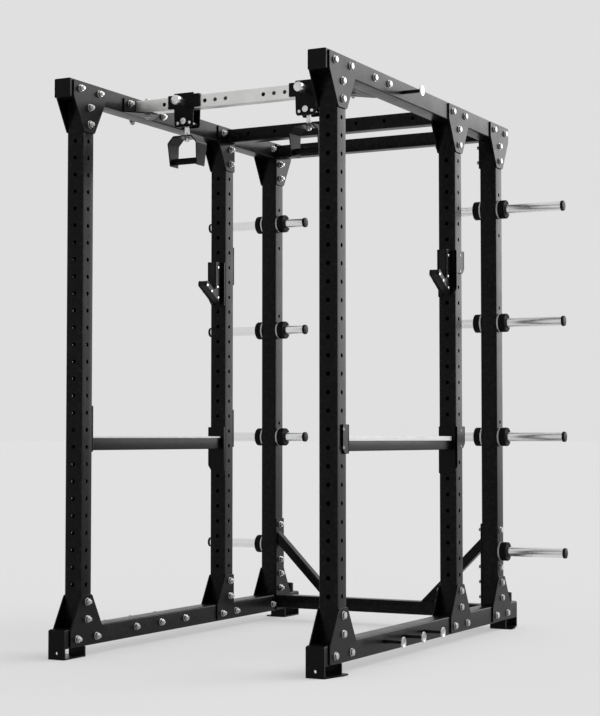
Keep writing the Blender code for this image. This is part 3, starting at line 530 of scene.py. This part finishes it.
def corner_bolts(row, level):
    """Bolts through both plates; one that the inner plate doesn't reach has its nut on the bare rail."""
    def make():
        bm = bmesh.new()
        for number, (along, z) in enumerate(bolt_places(level)):
            turn = 0.4 + 0.35 * number
            y = ROWS[row] + along
            bare = (row == "rear" and along < 0) or (row == "middle" and along > 0)
            add_bolt(bm, (OUTER + PLATE, y, z), (1, 0, 0), turn=turn)
            add_nut(bm, (INNER if bare else PLATE_X, y, z), (-1, 0, 0), turn=-turn)
        return to_object("bolts", bm)

    return make


def foot(end):
    """Base plate that flares outboard, an end plate over the rail's end and a low inner wall."""
    into = 1 if end == "front" else -1
    outer = -0.1063 if end == "front" else 1.8463
    inner = outer + into * 0.1445
    thick = 0.008

    def make():
        bm = bmesh.new()
        flared = OUTER + 0.028
        outline = [
            (INNER, outer), (OUTER, outer), (flared, outer + into * 0.1065), (flared, inner), (INNER, inner),
        ]
        add_plate(bm, rounded(outline, [0, 0.003, 0.012, 0.010, 0.003]), 2, 0, PLATE)
        base = to_object("foot", bm)
        bm = bmesh.new()
        plate_y = sorted((outer, outer + into * thick))
        outline = [(INNER, 0), (OUTER, 0), (OUTER, 0.114), (INNER, 0.114)]
        add_plate(bm, rounded(outline, [0, 0, 0.006, 0.006]), 1, *plate_y)
        wall_y = sorted((inner, inner - into * thick))
        add_plate(bm, [(INNER, 0), (OUTER, 0), (OUTER, 0.0405), (INNER, 0.0405)], 1, *wall_y)
        combined(base, to_object("walls", bm), "UNION")
        bm = bmesh.new()
        if end == "front":
            add_rod(bm, (TRACK, outer - 0.02, 0.025), (TRACK, outer + 0.02, 0.025), 0.0065, 24)
        floor_hole = Vector((OUTER + 0.010, inner - into * 0.025, 0))
        add_rod(bm, floor_hole - Vector((0, 0, 0.01)), floor_hole + Vector((0, 0, 0.02)), 0.006, 24)
        return carved(base, to_object("holes", bm))

    return make


def build_frame():
    for row in ROWS:
        name = f"{row}_upright_{{side}}"
        left_and_right(name + "_tube", lambda: upright(row), COAT, replaces=name)
    for level in LEVELS:
        name = f"{level}_rail_{{side}}"
        left_and_right(name + "_tube", lambda: rail(level), COAT, replaces=name)
        for end in ("front", "rear"):
            left_and_right(f"{level}_rail_{end}_cap_{{side}}", end_cap(level, end), BLACK_PLASTIC, 0.0012)
        for row in ROWS:
            name = f"{level}_gussets_{row}_{{side}}"
            left_and_right(name + "_plates", corner_plates(row, level), COAT, 0.0009, replaces=name)
            left_and_right(name + "_bolts", corner_bolts(row, level), BOLTS, 0.0005)
    for end in ("front", "rear"):
        name = f"{end}_foot_{{side}}"
        left_and_right(name + "_plate", foot(end), COAT, 0.0008, replaces=name)


def build_beams():
    beams = {
        "middle_top_beam": ("middle", TOP_BEAM_Z, range(-3, 4)),
        "rear_top_beam": ("rear", TOP_BEAM_Z, ()),
        "rear_floor_beam": ("rear", FLOOR_BEAM_Z, ()),
    }
    span = PLATE_X - NEAR
    for name, (row, z, holes) in beams.items():
        y = ROWS[row] - TUBE / 2
        bm = bmesh.new()
        square_tube(bm, (-span, y, z), (span, y + BEAM, z + BEAM), 0, 0.0045)
        outside = to_object(name + "_tube", bm)
        bm = bmesh.new()
        square_tube(bm, (-0.6, y + WALL, z + WALL), (0.6, y + BEAM - WALL, z + BEAM - WALL), 0, 0.002)
        cutters = [to_object("inside", bm)]
        if holes:
            bm = bmesh.new()
            for number in holes:
                x = number * BEAM_HOLE_STEP
                add_rod(bm, (x, y - 0.01, z + 0.033), (x, y + 0.010, z + 0.033), 0.0075, 24)
            cutters.append(to_object("holes", bm))
        show(carved(outside, *cutters), COAT, replaced=name)


def build_crossbar():
    low_y = CROSSBAR_Y - CROSSBAR_DEEP
    high_y = CROSSBAR_Y + CROSSBAR_DEEP
    low_z = CROSSBAR_Z - CROSSBAR_HIGH
    high_z = CROSSBAR_Z + CROSSBAR_HIGH
    span = INNER - 0.008
    bm = bmesh.new()
    square_tube(bm, (-span, low_y, low_z), (span, high_y, high_z), 0, 0.004)
    outside = to_object("front_crossbar_tube", bm)
    bm = bmesh.new()
    square_tube(bm, (-0.6, low_y + WALL, low_z + WALL), (0.6, high_y - WALL, high_z - WALL), 0, 0.002)
    inside = to_object("inside", bm)
    bm = bmesh.new()
    for way in SIDES.values():
        for index in range(7):
            x = way * (CROSSBAR_FIRST_HOLE + index * CROSSBAR_STEP)
            add_rod(bm, (x, CROSSBAR_Y - 0.04, CROSSBAR_Z), (x, CROSSBAR_Y - 0.01, CROSSBAR_Z), PIN_HOLE, 28)
    carved(outside, inside, to_object("holes", bm))
    show(outside, SATIN, replaced="front_crossbar")

    front_y = CROSSBAR_Y - 0.1075
    rear_y = CROSSBAR_Y + 0.1075
    shelf_z = low_z - 0.005

    def bracket():
        """Plate on the rail's inner face and a tapering shelf under the bar's end."""
        top_z = low_z + 0.055
        bm = bmesh.new()
        outline = [(front_y, shelf_z), (rear_y, shelf_z), (rear_y, top_z), (front_y, top_z)]
        add_plate(bm, rounded(outline, [0, 0, 0.006, 0.006]), 0, PLATE_X, INNER - NEAR)
        root_x = PLATE_X + 0.001
        tip_x = 0.4347
        shelf = [(root_x, front_y), (tip_x, low_y), (tip_x, high_y), (root_x, rear_y)]
        add_plate(bm, rounded(shelf, [0, 0.006, 0.006, 0]), 2, shelf_z, low_z - 0.0002)
        return to_object("bracket", bm)

    def bolts():
        bolt_z = LEVELS["top"] + RAIL_BOLT_RISE
        upright_x = 0.475
        bm = bmesh.new()
        for y in (CROSSBAR_Y - RAIL_BOLT_ALONG, CROSSBAR_Y + RAIL_BOLT_ALONG):
            add_bolt(bm, (OUTER, y, bolt_z), (1, 0, 0), turn=0.7)
            add_nut(bm, (PLATE_X, y, bolt_z), (-1, 0, 0), turn=0.2)
        add_bolt(bm, (upright_x, CROSSBAR_Y, high_z), (0, 0, 1), 0.019, 0.008, 0.013)
        add_nut(bm, (upright_x, CROSSBAR_Y, shelf_z), (0, 0, -1), 0.019, 0.0115, 0.016, 0.0059, 0.013)
        return to_object("bolts", bm)

    left_and_right("front_crossbar_bracket_{side}", bracket, COAT, 0.0006)
    left_and_right("front_crossbar_bolts_{side}", bolts, BOLTS, 0.0004)


def build_braces():
    row_y = ROWS["rear"]
    front_y = row_y - TUBE / 2

    def bar():
        """Square tube at 45 degrees, cut off flat by the corner plate and by the floor beam."""
        across = 0.020
        floor_z = FLOOR_BEAM_Z + BEAM + NEAR
        top = Vector((PLATE_X + PLATE / 2, 0.387))
        foot_point = Vector((top.x - (top.y - floor_z), floor_z))
        bm = bmesh.new()
        square_tube(bm, (-0.3, -across, -across), (0.3, across, across), 0, 0.004)
        middle = (top + foot_point) / 2
        turn = Matrix.Rotation(math.radians(-45), 4, "Y")
        bm.transform(Matrix.Translation((middle.x, front_y + BEAM / 2, middle.y)) @ turn)
        tube = to_object("brace", bm)
        bm = bmesh.new()
        add_box(bm, (PLATE_X + 0.001, 0, -0.5), (INNER + 0.5, 3, 1))
        wall = to_object("wall", bm)
        bm = bmesh.new()
        add_box(bm, (-1, 0, -0.5), (1, 3, floor_z + 0.0002))
        return carved(tube, wall, to_object("floor", bm))

    def plates():
        """The long inner corner plate, with half a gusset on its rear side."""
        bm = bmesh.new()
        edge_y = row_y + TUBE / 2
        wide_y = row_y + GUSSET_WIDE
        low_z = LEVELS["bottom"] - GUSSET_RISE
        top_z = 0.475
        side_view = [
            (front_y, low_z), (front_y, top_z), (edge_y, top_z), (edge_y, 0.2383),
            (wide_y, LEVELS["bottom"] - GUSSET_SHOULDER), (wide_y, low_z),
        ]
        side_view = rounded(side_view, [0.004, 0.005, 0.005, 0.012, 0.020, 0.006])
        add_plate(bm, side_view, 0, PLATE_X, INNER - NEAR)
        return to_object("plates", bm)

    def bolts():
        bm = bmesh.new()
        for z in (0.281, 0.4465):
            add_nut(bm, (PLATE_X, row_y, z), (-1, 0, 0))
            add_bolt(bm, (OUTER, row_y, z), (1, 0, 0), turn=z * 4)
        return to_object("bolts", bm)

    left_and_right("rear_brace_{side}_tube", bar, COAT, replaces="rear_brace_{side}")
    left_and_right("rear_brace_{side}_plates", plates, COAT, 0.0008)
    left_and_right("rear_brace_{side}_bolts", bolts, BOLTS, 0.0005)


# ---- pegs and holders ---------------------------------------------------------------------------

def build_plate_pegs():
    """Bars through the rear uprights; the lowest one stands out on the outside only."""
    y = ROWS["rear"]
    cap = 0.012
    outer_end = OUTER + 0.3072
    for index, z in enumerate(PEG_HEIGHTS):
        inner_end = INNER - 0.1458 if index else INNER + 0.02
        stretches = [(OUTER, 1)] + ([(INNER, -1)] if index else [])

        def bar():
            bm = bmesh.new()
            add_rod(bm, (inner_end + 0.006, y, z), (outer_end - 0.006, y, z), 0.0213, 48)
            return to_object("bar", bm)

        def rings():
            bm = bmesh.new()
            for face, way in stretches:
                profile = [(0.0003, 0.0415), (0.0011, 0.0423), (0.0058, 0.0423), (0.0070, 0.0415)]
                add_turned(bm, profile, (face, y, z), (way, 0, 0), 48)
            return to_object("rings", bm)

        def collars():
            bm = bmesh.new()
            profile = [(0.0068, 0.0380), (0.0076, 0.0406), (0.0094, 0.0415), (0.0348, 0.0415)]
            profile += [(0.0368, 0.0408), (0.0378, 0.0388), (0.0380, 0.0360)]
            profile += [(0.0374, 0.0330), (0.0366, 0.0240)]
            for face, way in stretches:
                add_turned(bm, profile, (face, y, z), (way, 0, 0), 48)
            return to_object("collars", bm)

        def caps():
            bm = bmesh.new()
            profile = [(0, 0.0222), (0.0006, 0.0229), (0.0095, 0.0229), (0.0113, 0.0222), (cap, 0.0205)]
            add_turned(bm, profile, (outer_end - cap, y, z), (1, 0, 0), 40)
            if index:
                add_turned(bm, profile, (inner_end + cap, y, z), (-1, 0, 0), 40)
            return to_object("caps", bm)

        name = f"plate_peg_{{side}}_{index + 1}"
        left_and_right(name + "_bar", bar, CHROME, replaces=name)
        left_and_right(name + "_rings", rings, BOLTS)
        left_and_right(name + "_collars", collars, RUBBER)
        left_and_right(name + "_caps", caps, BLACK_PLASTIC)


def build_band_pegs():
    """Three pegs on each bottom rail, and a fourth on the top rail, which has no CAD piece of its own."""
    for index, (y, z) in enumerate([*BAND_PEGS, TOP_BAND_PEG]):
        def rod():
            bm = bmesh.new()
            add_rod(bm, (OUTER + NEAR, y, z), (OUTER + 0.081, y, z), 0.0074, 28)
            return to_object("rod", bm)

        def disc():
            bm = bmesh.new()
            profile = [(0, 0.0205), (0.0007, 0.0213), (0.0043, 0.0213), (0.0050, 0.0205)]
            profile += [(0.0047, 0.0150), (0.0043, 0.0140)]
            add_turned(bm, profile, (OUTER + 0.0792, y, z), (1, 0, 0), 44)
            return to_object("disc", bm)

        def nut():
            bm = bmesh.new()
            add_nut(bm, (INNER, y, z), (-1, 0, 0), end=0.0185)
            return to_object("nut", bm)

        name = f"band_peg_{{side}}_{index + 1}"
        in_cad = index < len(BAND_PEGS)
        left_and_right(name + "_rod", rod, COAT, 0.0006, replaces=name if in_cad else None)
        left_and_right(name + "_disc", disc, DISC)
        left_and_right(name + "_nut", nut, BOLTS, 0.0004)


def build_bar_holders():
    def cup():
        y = 1.795
        low = LEVELS["bottom"] + NEAR
        bm = bmesh.new()
        add_rod(bm, (TRACK, y, low), (TRACK, y, low + 0.0395), 0.030, 56)
        outside = to_object("cup", bm)
        bm = bmesh.new()
        add_rod(bm, (TRACK, y, low + 0.006), (TRACK, y, low + 0.08), 0.0265, 56)
        return carved(outside, to_object("bore", bm))

    left_and_right("bar_holder_{side}_cup", cup, COAT, 0.0007, replaces="bar_holder_{side}")


# ---- hooks and safety bars ----------------------------------------------------------------------

MIDDLE_FRONT_Y = ROWS["middle"] - TUBE / 2 - NEAR
MIDDLE_REAR_Y = ROWS["middle"] + TUBE / 2 + NEAR


def folded(bm, y_face, into, low, high, low_narrow, high_narrow):
    """Plate over the front or rear face of an upright; its inboard part runs between the narrow heights."""
    narrow = INNER + 0.066
    outline = [
        (INNER, low_narrow), (narrow, low_narrow), (BRACKET_X, low), (BRACKET_X, high), (narrow, high),
        (narrow, high_narrow), (INNER, high_narrow),
    ]
    outline = list(dict.fromkeys(outline))
    radii = [0.004 if x < BRACKET_X else 0.002 for x, _ in outline]
    add_plate(bm, rounded(outline, radii), 1, *sorted((y_face, y_face + into * BRACKET)))


def outboard_plate(bm, low, dip, waist, rear_low, high):
    """Plate over the outer face of a middle upright; its lower edge steps up from low to rear_low."""
    start = MIDDLE_FRONT_Y - BRACKET
    stop = MIDDLE_REAR_Y + BRACKET
    chamfer = 0.018
    outline = [
        (start, low), (MIDDLE_FRONT_Y, low + 0.001), (MIDDLE_FRONT_Y + dip, waist),
        (stop - chamfer, rear_low - chamfer), (stop, rear_low), (stop, high), (start, high),
    ]
    outline = rounded(outline, [0, 0.002, 0.006, 0.010, 0.006, 0.002, 0.002])
    add_plate(bm, outline, 0, OUTER + NEAR, BRACKET_X)


def pins(rows, indices):
    """Locating pins in an upright's holes, with their heads on the outside of the bracket."""
    bm = bmesh.new()
    for row in rows:
        for index in indices:
            y = ROWS[row]
            z = hole_z(index)
            pin = [(0, 0.0060), (0.003, 0.0078), (0.0195, 0.0078)]
            add_turned(bm, pin, (OUTER - 0.018, y, z), (1, 0, 0), 28)
            head = [(0, 0.0064), (0.0018, 0.0064), (0.0024, 0.0056)]
            add_turned(bm, head, (BRACKET_X - 0.001, y, z), (1, 0, 0), 28)
    return to_object("pins", bm)


def build_hooks():
    front = MIDDLE_FRONT_Y - BRACKET

    def bracket():
        top_z = 1.652
        bm = bmesh.new()
        folded(bm, MIDDLE_FRONT_Y, -1, 1.485, top_z, 1.454, top_z)
        folded(bm, MIDDLE_REAR_Y, 1, 1.574, top_z, 1.5555, 1.728)
        outboard_plate(bm, 1.486, 0.010, 1.556, 1.574, top_z)
        return to_object("bracket", bm)

    def cheeks():
        outline = [
            (0.001, 1.458), (0.001, 1.6515), (-0.0465, 1.6515), (-0.0465, 1.538), (-0.052, 1.5285),
            (-0.064, 1.526), (-0.076, 1.5305), (-0.116, 1.559), (-0.125, 1.560), (-0.131, 1.549),
            (-0.1295, 1.537),
        ]
        outline = [(front + along, z) for along, z in outline]
        outline = rounded(outline, [0, 0, 0.005, 0.003, 0.004, 0.010, 0.006, 0.010, 0.006, 0.010, 0.012])
        bm = bmesh.new()
        add_plate(bm, outline, 0, TRACK - 0.022, TRACK - 0.014)
        add_plate(bm, outline, 0, TRACK + 0.014, TRACK + 0.022)
        return to_object("hook", bm)

    def liner():
        """The core between the cheeks, a little inside their edges."""
        outline = [
            (0.001, 1.463), (0.001, 1.6505), (-0.0455, 1.6505), (-0.0455, 1.537), (-0.052, 1.5275),
            (-0.064, 1.525), (-0.076, 1.5295), (-0.116, 1.558), (-0.124, 1.559), (-0.130, 1.549),
            (-0.1285, 1.538),
        ]
        outline = [(front + along, z) for along, z in outline]
        bm = bmesh.new()
        add_plate(bm, rounded(outline, 0.003), 0, TRACK - 0.0141, TRACK + 0.0141)
        return to_object("liner", bm)

    def screws():
        bm = bmesh.new()
        for y, z in ((1.091, 1.6265), (1.084, 1.538), (1.090, 1.490), (0.9948, 1.5395), (1.0335, 1.5155)):
            for way in (-1, 1):
                profile = [(0, 0.0060), (0.0012, 0.0060), (0.0026, 0.0050), (0.0030, 0.0030)]
                add_turned(bm, profile, (TRACK + way * 0.0218, y, z), (way, 0, 0), 24)
        return to_object("screws", bm)

    body = "bar_hook_{side}"
    left_and_right("bar_hook_{side}_bracket", bracket, COAT, 0.0008, body, body)
    left_and_right("bar_hook_{side}_cheeks", cheeks, COAT, 0.0008, body)
    left_and_right("bar_hook_{side}_liner", liner, LINER, 0.0006, body)
    left_and_right("bar_hook_{side}_screws", screws, ZINC, body=body)
    own_pins = partial(pins, ("middle",), HOOK_HOLES)
    left_and_right("bar_hook_{side}_pins", own_pins, PINS, body=body)


def build_safety_bars():
    front_face = ROWS["front"] + TUBE / 2 + NEAR
    start = front_face + BRACKET
    stop = MIDDLE_FRONT_Y - BRACKET
    half = 0.020
    high_z = 0.862

    def beam():
        bm = bmesh.new()
        low = (TRACK - half, start - 0.001, 0.808)
        square_tube(bm, low, (TRACK + half, stop + 0.001, high_z), 1, 0.0045)
        return to_object("beam", bm)

    def brackets():
        top_z = 0.9065
        bm = bmesh.new()
        folded(bm, front_face, 1, 0.802, 0.907, 0.802, 0.9855)
        folded(bm, MIDDLE_FRONT_Y, -1, 0.734, top_z, 0.708, top_z)
        folded(bm, MIDDLE_REAR_Y, 1, 0.834, top_z, 0.816, 0.9865)
        outline = [(0.033, 0.816), (0.051, 0.798), (start, 0.800), (start, 0.907), (0.033, 0.907)]
        add_plate(bm, rounded(outline, [0.006, 0.006, 0.002, 0.002, 0.006]), 0, OUTER + NEAR, BRACKET_X)
        outboard_plate(bm, 0.735, 0.012, 0.798, 0.834, top_z)
        return to_object("brackets", bm)

    def strip():
        """Light-grey strip over the top of the beam, lapping down its outboard face: a painted highlight of
        the light along the beam's top and upper outboard edge.
        """
        face_x = TRACK + half + 0.0001
        outer_x = TRACK + half + 0.0022
        under_z = high_z + 0.0002
        top_z = high_z + 0.0025
        outline = [
            (TRACK - half, 0.8570), (TRACK - 0.0185, 0.8570), (TRACK - 0.0185, under_z), (face_x, under_z),
            (face_x, 0.8465), (outer_x, 0.8465), (outer_x, top_z), (TRACK - half, top_z),
        ]
        outline = rounded(outline, [0.0004, 0.0004, 0, 0, 0.0008, 0.0008, 0.0022, 0.0016])
        bm = bmesh.new()
        add_plate(bm, outline, 1, start + 0.002, stop - 0.002)
        return to_object("strip", bm)

    body = "safety_bar_{side}"
    left_and_right("safety_bar_{side}_brackets", brackets, COAT, 0.0008, body, body)
    left_and_right("safety_bar_{side}_beam", beam, COAT, body=body)
    own_pins = partial(pins, ("front", "middle"), SAFETY_HOLES)
    left_and_right("safety_bar_{side}_pins", own_pins, PINS, body=body)
    left_and_right("safety_bar_{side}_strip", strip, HIGHLIGHT_STRIP, 0.0003, body)


# ---- trolleys, lock pins, hangers and handles ---------------------------------------------------

def build_trolleys():
    """Two plates astride the crossbar; their faces lie half and outer away from its middle."""
    half = CROSSBAR_DEEP + TROLLEY_GAP
    outer = half + TROLLEY_PLATE
    x = TROLLEY_X

    def shell():
        """Front and rear plates with wings beside the cheeks, and a deck that joins them over the bar."""
        wing = 0.075
        cheek = 0.046
        low_z = 2.206
        high_z = 2.261
        outline = [
            (cheek - 0.008, 2.128), (cheek - 0.002, 2.138), (cheek, low_z), (wing, low_z), (wing, high_z),
            (cheek, high_z), (cheek, 2.268),
        ]
        radii = [0.004, 0.003, 0.004, 0.003, 0.003, 0.002, 0.003]
        outline = [(x + u, z) for u, z in rounded(mirrored(outline), radii + radii[::-1])]
        bm = bmesh.new()
        add_plate(bm, outline, 1, CROSSBAR_Y - outer, CROSSBAR_Y - half)
        add_plate(bm, outline, 1, CROSSBAR_Y + half, CROSSBAR_Y + outer)
        deep = half + 0.001
        add_box(bm, (x - 0.071, CROSSBAR_Y - deep, 2.2582), (x + 0.071, CROSSBAR_Y + deep, 2.2618))
        return to_object("shell", bm)

    def bolts():
        screw_x = (x - 0.028, x + 0.028)
        screw_z = 2.144
        head = [(0, 0.0125), (0.0008, 0.0130), (0.0055, 0.0130), (0.0068, 0.0118)]
        head += [(0.0072, 0.0070), (0.0066, 0.0062)]
        small = [(0, 0.0066), (0.0022, 0.0066), (0.0034, 0.0056), (0.0038, 0.0030)]
        near_y = CROSSBAR_Y - half
        far_y = CROSSBAR_Y + half
        bm = bmesh.new()
        for way in (-1, 1):
            face = CROSSBAR_Y + way * outer
            add_turned(bm, head, (x, face, PIVOT_Z), (0, way, 0), 36)
            for place_x in screw_x:
                add_turned(bm, small, (place_x, face, screw_z), (0, way, 0), 28)
        add_rod(bm, (x, near_y, PIVOT_Z), (x, far_y, PIVOT_Z), 0.008, 28)
        for place_x in screw_x:
            add_rod(bm, (place_x, near_y, screw_z), (place_x, far_y, screw_z), 0.004, 20)
        return to_object("bolts", bm)

    body = "trolley_{side}"
    left_and_right("trolley_{side}_shell", shell, COAT, 0.0006, body, body)
    left_and_right("trolley_{side}_bolts", bolts, ZINC, body=body)


def build_lock_pins():
    face = CROSSBAR_Y - CROSSBAR_DEEP - TROLLEY_GAP - TROLLEY_PLATE
    x = TROLLEY_X

    def knob():
        """Sleeve and knob, with the pin through the trolley's front plate."""
        bm = bmesh.new()
        profile = [(0.0003, 0.0125), (0.0020, 0.0135), (0.0310, 0.0135), (0.0340, 0.0145), (0.0350, 0.0168)]
        profile += [(0.0365, 0.0185), (0.0385, 0.0191), (0.0645, 0.0191), (0.0672, 0.0184)]
        profile += [(0.0686, 0.0166), (0.0690, 0.0130)]
        add_turned(bm, profile, (x, face, CROSSBAR_Z), (0, -1, 0), 56)
        add_rod(bm, (x, face - 0.002, CROSSBAR_Z), (x, face + 0.0058, CROSSBAR_Z), 0.0074, 28)
        return to_object("knob", bm)

    body = "lock_pin_{side}"
    left_and_right("lock_pin_{side}_knob", knob, ZINC, 0, body, body)


def build_hangers():
    x = TROLLEY_X

    def swivel():
        """Eye on the pivot bolt, its stem, and a washer and nut under the handle's top."""
        bm = bmesh.new()
        eye = [(0, 0.0120), (0.0015, 0.0148), (0.0215, 0.0148), (0.0230, 0.0120)]
        add_turned(bm, eye, (x, CROSSBAR_Y - 0.0115, PIVOT_Z), (0, 1, 0), 40)
        stem = [(0, 0.0095), (0.050, 0.0098), (0.052, 0.0086), (0.055, 0.0086), (0.057, 0.0098)]
        stem += [(0.060, 0.0098)]
        add_turned(bm, stem, (x, CROSSBAR_Y, PIVOT_Z - 0.0002), (0, 0, -1), 40)
        nut_top = HANDLE_TOP_Z - STRAP - NEAR
        add_rod(bm, (x, CROSSBAR_Y, HANDLE_TOP_Z + 0.002), (x, CROSSBAR_Y, nut_top - 0.0155), 0.0058, 24)
        add_turned(bm, [(0, 0.0118), (0.0016, 0.0118)], (x, CROSSBAR_Y, nut_top), (0, 0, -1), 28)
        add_rod(bm, (x, CROSSBAR_Y, nut_top - 0.0015), (x, CROSSBAR_Y, nut_top - 0.0125), 0.0105, 6)
        return to_object("swivel", bm)

    body = "hanger_{side}"
    left_and_right("hanger_{side}_swivel", swivel, ZINC, 0.0004, body, body)


def strap_ring(low, inset):
    """Outline of a handle's strap, or of the room inside it, down to low."""
    half = [
        (0.0645 - inset, low), (0.0695 - inset, 2.062 - inset / 2), (0.043 - inset / 2, HANDLE_TOP_Z - inset),
    ]
    return mirrored(half)


def build_handles():
    """A bent strap whose legs taper below, and a rubber grip between them."""
    wide = 0.0415
    wedge_y = 0.049
    wedge_z = 1.96
    for side, way in SIDES.items():
        body = f"handle_{side}"
        turn = Matrix.Rotation(HANDLE_TURNS[side], 4, "Z")
        place = Matrix.Translation((way * TROLLEY_X, CROSSBAR_Y, 0)) @ turn
        bm = bmesh.new()
        outline = rounded(strap_ring(1.969, 0.0), [0, 0.012, 0.010, 0.010, 0.012, 0], 5)
        add_plate(bm, outline, 1, -wide, wide)
        strap = to_object(body + "_strap", bm)
        bm = bmesh.new()
        outline = rounded(strap_ring(1.95, STRAP), [0, 0.008, 0.007, 0.007, 0.008, 0], 5)
        add_plate(bm, outline, 1, -0.1, 0.1)
        cutters = [to_object("inside", bm)]
        for sign in (-1, 1):
            bm = bmesh.new()
            wedge = [(wide, 2.060), (wedge_y, 2.060), (wedge_y, wedge_z), (0.0289, wedge_z)]
            add_plate(bm, [(sign * y, z) for y, z in wedge], 0, -0.1, 0.1)
            cutters.append(to_object("wedge", bm))
        carved(strap, *cutters)
        strap.data.transform(place)
        show(strap, COAT, body, 0.0010, body)
        bm = bmesh.new()
        profile = [(0, 0.0112), (0.0010, 0.0122), (0.0025, 0.0130), (0.1185, 0.0130)]
        profile += [(0.1200, 0.0122), (0.1210, 0.0112)]
        add_turned(bm, profile, (-0.0605, 0, 1.9906), (1, 0, 0), 40)
        grip = to_object(body + "_grip", bm)
        grip.data.transform(place)
        show(grip, RUBBER, body)


# ---- stage --------------------------------------------------------------------------------------

def build_stage():
    bm = bmesh.new()
    bmesh.ops.create_grid(bm, x_segments=1, y_segments=1, size=400)
    floor = to_object("floor", bm)
    made, tree, shader = new_material("studio_floor")
    shader.inputs["Base Color"].default_value = (0.30, 0.30, 0.30, 1)
    shader.inputs["Roughness"].default_value = 0.9
    shader.inputs["Specular IOR Level"].default_value = 0.0
    shader.inputs["Emission Color"].default_value = (1, 1, 1, 1)
    shader.inputs["Emission Strength"].default_value = 0.396
    floor.data.materials.append(made)

    world = bpy.data.worlds.new("studio")
    bpy.context.scene.world = world
    world.use_nodes = True
    tree = world.node_tree
    coords = tree.nodes.new("ShaderNodeTexCoord")
    aim = tree.nodes.new("ShaderNodeVectorMath")
    aim.operation = "DOT_PRODUCT"
    aim.inputs[1].default_value = Vector((0.50, 0.86, 0.30)).normalized()
    lobe = tree.nodes.new("ShaderNodeMapRange")
    lobe.interpolation_type = "SMOOTHSTEP"
    lobe.inputs["From Min"].default_value = 0.86
    lobe.inputs["From Max"].default_value = 0.98
    lobe.inputs["To Min"].default_value = BACKDROP
    lobe.inputs["To Max"].default_value = SOFTBOX
    tree.links.new(coords.outputs["Generated"], aim.inputs[0])
    tree.links.new(aim.outputs["Value"], lobe.inputs["Value"])
    tree.links.new(lobe.outputs["Result"], tree.nodes["Background"].inputs["Strength"])
    tree.nodes["Background"].inputs["Color"].default_value = (1, 1, 1, 1)

    key = bpy.data.lights.new("key", "SUN")
    key.energy = 1.5
    key.angle = math.radians(50)
    lamp = bpy.data.objects.new("key", key)
    lamp.rotation_euler = Vector((0.75, 0.45, 0.75)).to_track_quat("Z", "Y").to_euler()
    bpy.context.scene.collection.objects.link(lamp)

    camera = bpy.data.objects.new("camera", bpy.data.cameras.new("camera"))
    camera.data.lens = 86.25
    camera.data.sensor_width = 36
    camera.location = (3.3618, -6.458, 0.8566)
    camera.rotation_euler = (math.radians(92.6736), 0, math.radians(27.5539))
    bpy.context.scene.collection.objects.link(camera)
    bpy.context.scene.camera = camera
    bpy.context.scene.view_settings.view_transform = "Standard"


build_frame()
build_beams()
build_crossbar()
build_braces()
build_plate_pegs()
build_band_pegs()
build_bar_holders()
build_hooks()
build_safety_bars()
build_trolleys()
build_lock_pins()
build_hangers()
build_handles()
build_stage()
